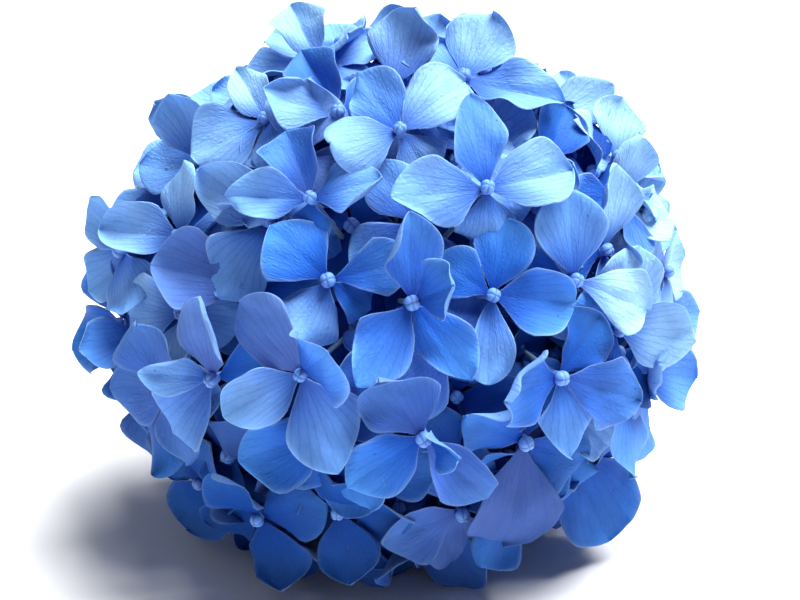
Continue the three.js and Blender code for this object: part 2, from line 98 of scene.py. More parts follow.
@dataclass(frozen=True)
class Bend:
    """The shape of one form.

    The angles are in degrees, and over 0 is up: the fold at the midrib, what each half's arch adds
    out to its margin, the roll of each margin itself, and the turn of the tip. The rest is the
    outline: where along its length each side is widest, how blunt the end is, and its waves.
    """

    fold: float = 0
    near_arch: float = 0
    far_arch: float = 0
    near_roll: float = 0
    far_roll: float = 0
    tip: float = 0
    near_widest: float = 0.57
    far_widest: float = 0.57
    bluntness: float = 0.74
    wave: float = 1


BENDS = {
    Form.FLAT: Bend(6, 16, -24, -34, 34, -8, bluntness=0.7),
    Form.SPOON: Bend(8, 42, 36, 8, 20, 14, bluntness=0.64),
    Form.SADDLE: Bend(-4, -44, -34, -24, -14, 44, 0.6, 0.46, wave=0.7),
    Form.RIDGED: Bend(-26, -12, -18, 24, -26, -10, bluntness=0.78),
    Form.TROUGH: Bend(30, 14, 6, -30, -8, 6, bluntness=0.78),
    Form.NEAR_ROLLED: Bend(4, 22, -10, 140, -14, 10, near_widest=0.5),
    Form.FAR_ROLLED: Bend(4, -10, 22, -14, 140, 10, far_widest=0.5),
    Form.NODDING: Bend(6, -14, -18, -22, -26, -58, bluntness=0.66),
    Form.RISING: Bend(8, 16, 6, 10, -12, 50, bluntness=0.6),
    Form.NEAR_UP: Bend(0, 42, -36, 14, -20, 6),
    Form.FAR_UP: Bend(0, -36, 42, -20, 14, 6),
    Form.POINTED: Bend(-6, 20, -22, 12, -14, 12, 0.5, 0.52, 1.0),
    Form.NARROW: Bend(10, 26, -30, -24, 34, 22, 0.72, 0.68, 0.55),
    Form.SQUARE: Bend(4, 22, -26, -36, 28, -6, 0.66, 0.66, 0.5),
    Form.FAR_LOBED: Bend(0, 26, -24, -34, 40, 8, 0.58, 0.36, 0.72),
    Form.NEAR_LOBED: Bend(0, -24, 26, 40, -34, 8, 0.36, 0.58, 0.72),
}


class Kind(Enum):
    """How a floret was placed, with the steps along and across that its sepals are divided into."""

    CHOSEN = (30, 26)  # listed one by one, as it shows from the front
    COMMON = (15, 12)  # by the rule that fills the head
    SUNK = (9, 8)  # deep in a gap between the others


# Small helpers


def linear(code: str) -> tuple[float, float, float, float]:
    """Turns an sRGB hex colour into a linear one.

    Args:
        code: six hex digits after a hash.

    Returns:
        Red, green, blue and an alpha of 1.
    """
    shares = [int(code[i : i + 2], 16) / 255 for i in (1, 3, 5)]
    values = [c / 12.92 if c <= 0.04045 else ((c + 0.055) / 1.055) ** 2.4 for c in shares]
    return (*values, 1.0)


def add_node(
    tree: Tree,
    kind: str,
    values: dict | None = None,
    links: dict | None = None,
    stops: tuple[tuple[float, str], ...] = (),
    **settings: object,
) -> bpy.types.Node:
    """Adds a node to a tree.

    Args:
        tree: the shader or geometry tree.
        kind: the node's type name.
        values: input name or number to its constant.
        links: input name or number to the output socket that feeds it.
        stops: a colour ramp's places and hex colours, in rising order.
        settings: the node's own properties.

    Returns:
        The new node.
    """
    node = tree.nodes.new(kind)
    for name, value in settings.items():
        setattr(node, name, value)
    for key, value in (values or {}).items():
        node.inputs[key].default_value = value
    for key, source in (links or {}).items():
        tree.links.new(source, node.inputs[key])
    for i, (place, code) in enumerate(stops):
        element = node.color_ramp.elements[i] if i < 2 else node.color_ramp.elements.new(place)
        element.position = place
        element.color = linear(code)
    return node


def new_material(name: str) -> tuple[bpy.types.Material, Tree]:
    """Makes an empty node material.

    Args:
        name: the finish's name.

    Returns:
        The material and its cleared tree.
    """
    material = bpy.data.materials.new(name)
    material.use_nodes = True
    material.node_tree.nodes.clear()
    return material, material.node_tree


def mesh_object(name: str, points: np.ndarray, faces: list, smooth: bool = True) -> bpy.types.Object:
    """Makes a mesh object from points in millimetres.

    Args:
        name: the piece's name.
        points: one row for each point, in the row frame.
        faces: lists of point numbers.
        smooth: whether the faces are shaded smooth.

    Returns:
        The object, in the scene's collection, at the origin.
    """
    mesh = bpy.data.meshes.new(name)
    mesh.from_pydata((points * MM).tolist(), [], faces)
    mesh.update()
    if smooth:
        mesh.shade_smooth()
    made = bpy.data.objects.new(name, mesh)
    bpy.context.scene.collection.objects.link(made)
    return made


def hand_over(piece: bpy.types.Object) -> None:
    """Rides a finished piece on the bloom's body."""
    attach(piece, BODY)
    log.info("%s: %d faces", piece.name, len(piece.data.polygons))


def unit(vector: np.ndarray) -> np.ndarray:
    """Returns a vector's direction."""
    return vector / np.linalg.norm(vector)


# How the bloom is laid out, by the same rule and sizes as the part's source


@dataclass
class SeededDraw:
    """One stream of numbers, the same as the part's."""

    state: int

    def between(self, low: float, high: float) -> float:
        """Returns the next number between low and high."""
        self.state = (self.state * 1664525 + 1013904223) % 4294967296
        return low + (high - low) * self.state / 4294967296


@dataclass
class Sepal:
    """One sepal: its root, the ways it faces, and how it is bent. Angles are in radians."""

    hub: np.ndarray
    out: np.ndarray
    ahead: np.ndarray
    side: np.ndarray
    length: float
    width: float
    claw: float
    opening: float
    curl: float
    cup: float
    twist: float

    def half_width(self, along: float, widest_at: float, bluntness: float) -> float:
        """Returns the half width at a share of the length, with a straight claw at the root."""
        power = math.log(0.5) / math.log(widest_at)
        swell = math.sin(math.pi * along**power)
        return min(0.5 * self.width * swell**bluntness, self.claw * self.length * along)

    def surface(self, along: float, over: float) -> tuple[np.ndarray, np.ndarray]:
        """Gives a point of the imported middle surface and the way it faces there.

        Args:
            along: the share of the length, 0 at the root and 1 at the tip.
            over: the distance from the midrib.

        Returns:
            The point and the facing.
        """
        slope = self.opening + self.curl * along
        reach = (self.length / self.curl) * (math.sin(slope) - math.sin(self.opening))
        rise = (self.length / self.curl) * (math.cos(self.opening) - math.cos(slope))
        facing = math.cos(slope) * self.out - math.sin(slope) * self.ahead
        lift = over * math.sin(self.twist * along) + self.cup * over**2 / self.width
        spine = self.hub + reach * self.ahead + rise * self.out
        return spine + over * math.cos(self.twist * along) * self.side + lift * facing, facing


@dataclass
class SepalPlan:
    """What is chosen for one sepal.

    turn is its direction, clockwise from the top, and rise its angle over the floret's plane, in
    degrees. long and wide are beside the common length and width. The tint is its share of the
    pale colour, or below 0 of the dark one: painted light where the sepal faces the light and
    painted shade where it lies in shade, with some of its own tone. mauve is its share of lavender.
    """

    turn: float
    rise: float
    long: float = 1
    wide: float = 1
    form: Form = Form.FLAT
    # painted light above 0 and painted shade below 0, with some of the sepal's own tone
    tint_light_shade: float = 0
    mauve: float = 0


@dataclass
class Floret:
    """One floret: its place on the head, how far it is lifted out of it, and its four sepals."""

    way: np.ndarray  # the direction from the head's centre, in the head's own frame
    lift: float
    size: float
    plans: list[SepalPlan]
    kind: Kind
    hub: np.ndarray | None = None  # where its sepals meet, in the row frame
    out: np.ndarray | None = None  # the way it faces
    sepals: list[Sepal] = field(default_factory=list)
    spray: int = 0
    number: int = 0

    def step_back(self, depth: float) -> None:
        """Moves the floret inwards, under its neighbours."""
        self.hub = self.hub - depth * self.out
        for sepal in self.sepals:
            sepal.hub = self.hub


# The florets that show from the front: x to the right and y up from the head's axis, for the bud's
# place across the face, lift, size, and a plan of each sepal, with its form by its letter. A plan's
# tint, its sixth entry, is painted light where the sepal faces the light and painted shade where it
# lies in shade, with some of the sepal's own tone.
FRONT_FLORETS = [
    (5, -1, 5, 1, [
        (358, 10, 1.05, 0.85, "O", 0, 0.1),
        (65, 48, 0.9, 0.72, "U", -0.08, 0.05),
        (142, 4, 1, 0.78, "M", 0.08, 0),
        (214, 4, 1.02, 0.85, "M", 0.05, 0.05),
    ]),
    (24, 28, 5, 1.08, [
        (76, 4, 0.97, 0.95, "T", 0.6, 0),
        (172, -24, 0.75, 0.75, "B", 0.35, 0),
        (262, 10, 1.06, 0.85, "L", 0.5, 0),
        (353, 6, 0.97, 0.65, "L", 0.2, 0),
    ]),
    (2, 43, 5, 1.04, [
        (46, 6, 0.98, 0.92, "Q", 0.75, 0),
        (136, -36, 0.65, 1.1, "B", 0.5, 0),
        (250, 16, 0.76, 1.05, "D", 0.5, 0),
        (332, -6, 1, 0.75, "L", 0.22, 0),
    ]),
    (-23, -19, 5, 1.06, [
        (52, 50, 0.95, 1, "F", -0.1, 0.1),
        (158, 4, 1, 0.98, "L", 0.2, 0.15),
        (242, 8, 0.96, 0.95, "S", 0.55, 0),
        (318, 10, 0.94, 0.92, "Q", -0.2, 0.5),
    ]),
    (8, -35, 5, 1.05, [
        (78, 60, 0.75, 0.65, "T", -0.25, 0),
        (136, 6, 1, 0.88, "S", -0.4, 0.25),
        (233, 4, 0.9, 0.84, "F", -0.05, 0),
        (327, 10, 0.98, 1, "M", -0.5, 0.2),
    ]),
    (43, -20, 5, 1, [
        (42, -4, 0.85, 0.95, "F", -0.6, 0),
        (105, 6, 1.02, 0.92, "F", -0.45, 0.15),
        (162, 10, 0.93, 0.75, "M", 0.15, 0),
        (261, 24, 1.04, 1.08, "N", -0.2, 0.05),
    ]),
    (-21, 26, 3, 1, [
        (75, 8, 0.76, 0.7, "N", 0.3, 0),
        (185, -38, 0.55, 0.6, "B", -0.15, 0),
        (271, 8, 0.88, 0.76, "T", 0.4, 0),
        (336, 8, 0.92, 1.1, "S", 0, 0.2),
    ]),
    (45, 40, -3, 1.05, [
        (30, 30, 0.85, 1, "S", -0.35, 0),
        (118, 6, 0.95, 0.95, "D", 0.2, 0),
        (210, -14, 0.7, 0.8, "F", 0, 0),
        (300, -10, 0.7, 0.8, "F", 0.65, 0),
    ]),
    (-47, -21, 3, 1, [
        (80, -20, 0.65, 0.8, "F", -0.25, 0),
        (227, 4, 1, 1, "F", 0.15, 0.2),
        (286, 36, 0.85, 0.6, "N", 0.45, 0),
        (10, 26, 1, 0.85, "N", 0, 0.5),
    ]),
    (49, 5, 1, 1.08, [
        (107, 8, 1.04, 0.92, "F", 0.95, 0),
        (152, -20, 0.75, 0.8, "F", 0.35, 0.3),
        (272, -20, 0.7, 0.7, "F", 0, 0),
        (352, 20, 0.96, 0.84, "F", 0.25, 0),
    ]),
    (-61, -4, 1, 1, [
        (0, -14, 0.75, 0.9, "F", 0.35, 0),
        (95, -18, 0.7, 0.8, "F", 0.3, 0),
        (190, 4, 0.85, 0.9, "S", 0.95, 0),
        (280, 6, 0.9, 0.92, "F", 0.5, 0),
    ]),
    (27, 1, -1, 1, [
        (12, 4, 0.82, 0.75, "Q", -0.15, 0),
        (95, -2, 0.96, 0.98, "S", -0.05, 0.05),
        (183, 2, 1.02, 0.62, "K", 0.35, 0),
        (305, -6, 0.72, 0.78, "L", -0.05, 0),
    ]),
    (-17, 5, -1, 1, [
        (75, -6, 0.92, 0.75, "F", 0.1, 0),
        (126, -10, 0.6, 0.7, "F", -0.4, 0),
        (208, 4, 0.76, 1.2, "D", 0.4, 0),
        (313, 4, 0.9, 1.08, "M", -0.05, 0),
    ]),
    (20, 62, 0, 1.1, [
        (30, 24, 0.8, 0.9, "F", 0.7, 0),
        (113, 0, 1, 0.85, "T", 0.5, 0),
        (196, -20, 0.7, 0.8, "D", 0.3, 0),
        (312, 20, 0.8, 0.9, "N", 0.4, 0),
    ]),
    (-21, 67, 0, 1, [
        (50, 2, 0.98, 0.9, "S", 0.5, 0),
        (120, -14, 0.7, 0.7, "F", 0.4, 0),
        (260, 4, 0.95, 0.72, "T", 0.5, 0),
        (326, 40, 0.8, 1, "T", 0.8, 0),
    ]),
    (64, 29, 0, 1, [
        (8, 20, 0.8, 0.8, "X", 0.7, 0),
        (108, 12, 1, 1.05, "U", 0.95, 0),
        (168, -14, 0.8, 0.9, "S", 0.2, 0),
        (262, -10, 0.8, 0.8, "F", 0.1, 0),
    ]),
    (-15, 52, -2, 1, [
        (50, -16, 0.9, 0.8, "F", 0.1, 0),
        (142, -20, 0.7, 0.7, "B", 0.1, 0),
        (268, 32, 0.95, 0.9, "N", 0.6, 0),
        (328, 8, 1, 0.92, "T", -0.3, 0.1),
    ]),
    (-36, 51, -2, 1.05, [
        (52, -10, 0.9, 0.9, "Y", 0.6, 0),
        (142, -16, 0.8, 0.8, "B", 0.4, 0),
        (235, 10, 0.95, 0.9, "X", 0.6, 0),
        (322, 16, 0.75, 0.55, "T", 0.9, 0),
    ]),
    (61, 14, -3, 1.05, [
        (0, 36, 1, 0.9, "S", 0.7, 0),
        (78, 2, 1, 0.9, "X", 0.8, 0),
        (170, -6, 1, 0.9, "F", 0.4, 0),
        (262, -16, 1, 0.9, "F", 0, 0),
    ]),
    (65, -9, -3, 1.1, [
        (10, -6, 0.95, 0.9, "F", 0.7, 0),
        (96, 6, 0.9, 0.9, "Y", 0.8, 0),
        (190, -6, 1, 0.9, "S", 0.1, 0),
        (280, -10, 0.9, 0.9, "F", 0, 0),
    ]),
    (-61, 18, -3, 1, [
        (0, 20, 0.9, 0.8, "F", 0.6, 0),
        (90, -10, 0.9, 0.9, "F", 0.45, 0),
        (180, -16, 0.9, 0.9, "F", 0.35, 0),
        (272, 6, 1, 0.9, "S", 0.6, 0),
    ]),
    (0, 71, -4, 1, [
        (12, 30, 0.7, 0.45, "T", 0.5, 0),
        (76, 8, 0.9, 0.8, "N", 0.7, 0),
        (245, -10, 0.85, 0.9, "Y", 0.45, 0),
        (328, 16, 0.8, 0.85, "U", 0.6, 0),
    ]),
    (20, -61, -2, 1.05, [
        (75, -6, 1, 0.95, "X", -0.4, 0.1),
        (172, -4, 1.05, 0.95, "F", -0.8, 0.35),
        (250, -6, 0.9, 0.9, "S", -0.5, 0.3),
        (345, -20, 0.9, 0.9, "B", -0.4, 0.1),
    ]),
    (2, -61, -5, 1, [
        (15, -20, 0.9, 0.9, "B", -0.6, 0),
        (105, -10, 0.9, 0.9, "F", -0.8, 0),
        (203, 0, 1, 1, "S", -0.9, 0),
        (285, -4, 0.9, 0.9, "X", -0.8, 0),
    ]),
    (-42, 4, -6, 1.1, [
        (20, -16, 0.9, 0.9, "F", -0.3, 0),
        (112, -20, 0.9, 0.9, "B", -0.3, 0),
        (205, -20, 0.9, 0.9, "F", -0.4, 0),
        (281, 8, 0.98, 1.1, "S", -0.15, 0.5),
    ]),
    (38, -41, -4, 1.12, [
        (20, -20, 0.9, 0.9, "B", -0.65, 0),
        (112, -4, 0.95, 0.9, "F", -0.65, 0),
        (177, 12, 1.26, 1.3, "F", -0.9, 0.3),
        (296, 14, 0.95, 0.75, "N", -0.3, 0),
    ]),
    (-35, 22, -5, 1.08, [
        (30, -20, 1, 0.9, "F", 0.4, 0),
        (130, -20, 0.9, 0.9, "B", 0.1, 0),
        (215, 4, 1, 0.9, "X", 0.4, 0),
        (306, 10, 1, 0.9, "S", 0.65, 0),
    ]),
    (-48, -46, -5, 1, [
        (28, -20, 0.9, 0.9, "F", -0.4, 0.1),
        (118, -6, 1, 0.9, "Y", -0.8, 0.2),
        (208, 4, 1, 0.9, "S", -0.8, 0),
        (298, -10, 0.9, 0.9, "D", -0.6, 0),
    ]),
    (59, -48, -7, 1.1, [
        (60, -6, 0.95, 0.9, "X", -0.1, 0),
        (144, 24, 1.3, 1.35, "U", -0.45, 0.05),
        (240, -6, 0.9, 0.9, "F", -0.5, 0),
        (330, -20, 0.9, 0.9, "B", -0.3, 0),
    ]),
    (-30, -46, -9, 1, [
        (25, -20, 1, 0.9, "F", -0.7, 0.1),
        (115, -6, 0.95, 0.9, "D", -0.9, 0.1),
        (205, 4, 1, 0.9, "S", -0.9, 0.35),
        (295, -6, 1, 0.9, "F", -0.7, 0.2),
    ]),
    (19, -29, -9, 0.9, [
        (15, -6, 1, 0.9, "X", -0.7, 0),
        (105, -6, 1, 0.9, "F", -0.7, 0),
        (200, -6, 1, 0.9, "D", -0.7, 0),
        (290, 4, 1, 0.9, "S", -0.6, 0),
    ]),
    (55, -34, -9, 0.85, [
        (35, -6, 1, 0.9, "F", -0.4, 0),
        (125, 10, 1, 0.9, "S", 0.5, 0),
        (215, -10, 1, 0.9, "F", -0.7, 0),
        (305, -16, 1, 0.9, "Y", -0.6, 0),
    ]),
    (-12, 22, -11, 0.85, [
        (30, -6, 1, 0.9, "F", -0.5, 0),
        (112, -6, 1, 0.9, "D", -0.5, 0),
        (200, -6, 1, 0.9, "F", -0.5, 0),
        (300, -6, 1, 0.9, "F", -0.5, 0),
    ]),
]


@dataclass
class Head:
    """Where the florets of the head sit and how their sepals grew, in millimetres and degrees."""

    # The head's ellipsoid, and how it lies
    axes: np.ndarray = field(default_factory=lambda: np.array([80.0, 75.0, 62.0]))  # to its buds
    height: float = 77  # of its centre
    tilt: float = 24  # of its axis above the horizontal
    shift: tuple[float, float] = (-0.051605, -34.565948)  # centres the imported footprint, along X and Y
    skirt: float = 122  # how far from the pole its buds reach
    facing_share: float = 0.74  # a floret turns out by this share of its own angle from the pole
    bud_top: float = 3.5  # over the place where the sepals meet
    hub_lowest: float = 6

    # The florets by rule: the ranges that they are drawn from
    florets_wanted: int = 112
    spots: int = 1500  # places that they are chosen from
    lifts: tuple[float, float] = (-7, 3)
    sizes: tuple[float, float] = (0.88, 1.08)
    opens: tuple[float, float] = (-10, 22)
    turn_error: float = 9
    lengths: tuple[float, float] = (0.93, 1.07)
    widths: tuple[float, float] = (0.92, 1.08)
    curls: tuple[float, float] = (-26, 10)
    cups: tuple[float, float] = (-0.45, 0.5)
    twists: tuple[float, float] = (-22, 22)

    # The florets that only this scene has: deep in the gaps, and higher near the rim
    sunk_wanted: int = 64
    sunk_lifts: tuple[float, float] = (-26, -18)
    sunk_sizes: tuple[float, float] = (0.85, 1)
    sunk_opens: tuple[float, float] = (-14, 12)
    # painted shade: the sunk florets get the dark colour because they lie in shade
    sunk_painted_shade: float = -0.9
    rim_below: float = 0.6  # the cosine of the angle from the pole where the rim begins
    rim_lift: float = 13
    rim_gaps: tuple[tuple[float, float], ...] = (
        (53, 4), (68, -16), (-66, 28), (68, 30), (-75, -3), (56, 45), (60, 38),
    )

    # How far a floret is set back, by its number, where a sepal of it would come through another
    set_back: dict[int, float] = field(
        default_factory=lambda: {
            10: 6, 51: 4, 70: 2, 72: 5, 79: 4, 82: 9, 83: 4, 85: 9, 102: 4, 106: 2, 109: 11,
        }
    )

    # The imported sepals, and what was tried in turn to find each one room
    sepal_width: float = 22.5
    sepal_thick: float = 0.8
    widest_at: float = 0.62  # share of the length
    bluntness: float = 0.72  # under 1 rounds the tip
    claw: float = 0.85  # the most that the half width grows with the distance from the root
    openings: tuple[float, ...] = (0, -7, -14, 7, -21, 14, -28, 21, -35, 28, -42, 35, 42, 49, 56)
    smaller: tuple[float, ...] = (1, 0.9, 0.8, 0.7, 0.6, 0.5)
    close: float = 0.02  # a packed point this near is the same point
    least_chosen: float = 0.95  # the least share of its drawn size that a fine sepal keeps
    least_other: float = 0.75
    kept_change: float = 0.5  # the share of its packed change of opening that a chosen sepal keeps

    # The sprays: how far off the pole each ring of them lies, how many it holds and where it starts
    stem_top: float = -34  # on the head's axis, from its centre
    ray_reach: float = 0.45  # share of the way from the centre to the buds
    knuckle_half: float = 2.4  # half the length of the knuckle at a ray's tip
    rings: tuple[tuple[float, int, float], ...] = ((0, 1, 0), (62, 5, 36), (112, 5, 0))

    draw: SeededDraw = field(default_factory=lambda: SeededDraw(20240611))
    sunk_draw: SeededDraw = field(default_factory=lambda: SeededDraw(5))

    def __post_init__(self) -> None:
        """Sets the head's own frame: X right, Y up its face and Z out, as columns."""
        lean = math.radians(90 - self.tilt)
        self.turn = np.array(
            [[1, 0, 0], [0, math.cos(lean), -math.sin(lean)], [0, math.sin(lean), math.cos(lean)]]
        )
        self.centre = np.array([self.shift[0], self.shift[1], self.height])
        self.stem_root = self.to_row(np.array([0, 0, self.stem_top]))

    def to_row(self, point: np.ndarray) -> np.ndarray:
        """Moves a point from the head's own frame to the row frame."""
        return self.turn @ point + self.centre

    @staticmethod
    def toward(off: float, round_: float) -> np.ndarray:
        """Returns the direction that lies off degrees from the pole and round_ degrees from the top."""
        o, r = math.radians(off), math.radians(round_)
        return np.array([math.sin(o) * math.sin(r), math.sin(o) * math.cos(r), math.cos(o)])

    def spray_aims(self) -> list[np.ndarray]:
        """Returns the place on the head that each spray grows towards."""
        return [
            self.toward(off, first + 360 * i / count) * self.axes
            for off, count, first in self.rings
            for i in range(count)
        ]

    def rule_floret(self, way: np.ndarray) -> Floret:
        """Draws a floret for a place on the head."""
        first = self.draw.between(0, 360)
        lift = self.draw.between(*self.lifts)
        size = self.draw.between(*self.sizes)
        turns = self.quarter_turns(first, self.draw)
        opens = [self.draw.between(*self.opens) for _ in turns]
        return Floret(way, lift, size, [SepalPlan(*pair) for pair in zip(turns, opens)], Kind.COMMON)

    def quarter_turns(self, first: float, draw: SeededDraw) -> list[float]:
        """Draws the directions of four sepals, about a right angle apart."""
        return [
            first + turn + draw.between(-self.turn_error, self.turn_error) for turn in (0, 90, 180, 270)
        ]

    def over_face(self, x: float, y: float) -> np.ndarray:
        """Returns the direction of the place that lies x to the right and y up on the head's face."""
        way = np.array([x, y, 0]) / self.axes
        way[2] = math.sqrt(1 - way @ way)
        return way

    def place_florets(self) -> list[Floret]:
        """Lists the chosen florets, then takes for each further one the spot with the most room.

        Returns:
            All florets, in the order in which they are drawn.
        """
        golden = 180 * (3 - math.sqrt(5))
        lowest = math.cos(math.radians(self.skirt))
        ways = []
        for i in range(self.spots):
            off = math.degrees(math.acos(1 - ((1 - lowest) * (i + 0.5)) / self.spots))
            ways.append(self.toward(off, golden * i))
        places = np.array(ways) * self.axes
        room = np.full(self.spots, np.inf)
        taken = []

        def take(floret: Floret) -> None:
            """Keeps a floret and the room that it takes."""
            np.minimum(room, np.linalg.norm(places - floret.way * self.axes, axis=1), out=room)
            taken.append(floret)

        for x, y, lift, size, rows in FRONT_FLORETS:
            plans = [SepalPlan(*row[:4], Form(row[4]), *row[5:]) for row in rows]
            take(Floret(self.over_face(x, y), lift, size, plans, Kind.CHOSEN))
        while len(taken) < self.florets_wanted:
            take(self.rule_floret(ways[int(np.argmax(room))]))
        for _ in range(self.sunk_wanted):
            take(self.sunk_floret(ways[int(np.argmax(room))]))
        for x, y in self.rim_gaps:
            take(self.sunk_floret(self.over_face(x, y)))
        return taken

    def sunk_floret(self, way: np.ndarray) -> Floret:
        """Draws a floret that sits low in a gap between the others, tinted dark as painted shade."""
        draw = self.sunk_draw
        turns = self.quarter_turns(draw.between(0, 90), draw)
        plans = [SepalPlan(turn, draw.between(*self.sunk_opens), tint_light_shade=self.sunk_painted_shade) for turn in turns]
        lift = draw.between(*self.sunk_lifts)
        size = draw.between(*self.sunk_sizes)
        if way[2] < self.rim_below:
            lift += self.rim_lift
        return Floret(way, lift, size, plans, Kind.SUNK)

    def set_out(self, floret: Floret) -> None:
        """Gives a floret its bud's place, its facing and its four sepals in the row frame."""
        off = math.degrees(math.acos(floret.way[2]))
        round_ = math.degrees(math.atan2(floret.way[0], floret.way[1]))
        facing = self.toward(off * self.facing_share, round_)
        floret.out = self.turn @ facing
        floret.hub = self.to_row(floret.way * self.axes + floret.lift * facing)
        floret.hub[2] = max(floret.hub[2], self.hub_lowest)
        top = np.array([0.0, 1.0, 0.0])
        top = unit(top - (top @ facing) * facing)
        right = np.cross(top, facing)
        for i, plan in enumerate(floret.plans):
            gaps = [abs(floret.plans[(i + k) % 4].turn - plan.turn) % 360 for k in (3, 1)]
            step = min(min(gap, 360 - gap) for gap in gaps)
            angle = math.radians(plan.turn)
            ahead = self.turn @ (math.cos(angle) * top + math.sin(angle) * right)
            floret.sepals.append(
                Sepal(
                    hub=floret.hub,
                    out=floret.out,
                    ahead=ahead,
                    side=np.cross(ahead, floret.out),
                    length=SEPAL_LENGTH * floret.size * plan.long * self.draw.between(*self.lengths),
                    width=self.sepal_width * floret.size * plan.wide * self.draw.between(*self.widths),
                    claw=min(self.claw, math.tan(math.radians(step / 2))),
                    opening=math.radians(plan.rise),
                    curl=math.radians(self.draw.between(*self.curls)),
                    cup=self.draw.between(*self.cups),
                    twist=math.radians(self.draw.between(*self.twists)),
                )
            )

    def marks(self, sepal: Sepal) -> list[np.ndarray]:
        """Returns the upper and lower points of a packed sepal at its tip and where it is widest."""
        widest = sepal.half_width(self.widest_at, self.widest_at, self.bluntness)
        points = []
        for along, over in ((1, 0), (self.widest_at, widest), (self.widest_at, -widest)):
            point, facing = sepal.surface(along, over)
            pair = [point + sign * facing * self.sepal_thick / 2 for sign in (1, -1)]
            pair.sort(key=lambda p: p[2])
            if pair[0][2] < 0:
                pair[0][2] = 0
                pair[1][2] = max(pair[1][2], self.sepal_thick)
            points += pair
        return points

    def grow(self, sepal: Sepal, tree: KDTree, kind: Kind) -> bool:
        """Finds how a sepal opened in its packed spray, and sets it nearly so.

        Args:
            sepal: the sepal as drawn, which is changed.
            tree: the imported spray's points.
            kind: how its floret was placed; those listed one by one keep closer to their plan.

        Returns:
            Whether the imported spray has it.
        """
        drawn = (sepal.length, sepal.width, sepal.opening)
        chosen = kind is Kind.CHOSEN
        for scale in self.smaller:
            for change in self.openings:
                sepal.length, sepal.width = drawn[0] * scale, drawn[1] * scale
                sepal.opening = drawn[2] + math.radians(change)
                if all(tree.find(mark)[2] < self.close for mark in self.marks(sepal)):
                    fuller = max(scale, self.least_chosen if chosen else self.least_other)
                    sepal.length, sepal.width = drawn[0] * fuller, drawn[1] * fuller
                    if chosen:
                        sepal.opening = drawn[2] + self.kept_change * math.radians(change)
                    return True
        sepal.length, sepal.width, sepal.opening = drawn
        return False


@dataclass
class PackedSprays:
    """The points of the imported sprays."""

    names: list[str]

    def __post_init__(self) -> None:
        """Builds a search tree for each spray, in millimetres."""
        self.trees = []
        for name in self.names:
            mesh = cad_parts[name].data
            tree = KDTree(len(mesh.vertices))
            for i, vertex in enumerate(mesh.vertices):
                tree.insert(vertex.co / MM, i)
            tree.balance()
            self.trees.append(tree)

    def spray_of(self, floret: Floret, head: Head) -> int | None:
        """Returns the number of the spray that holds a floret's bud, if one does."""
        top = floret.hub + head.bud_top * floret.out
        gaps = [tree.find(top)[2] for tree in self.trees]
        best = int(np.argmin(gaps))
        return best if gaps[best] < head.close else None


# Finishes


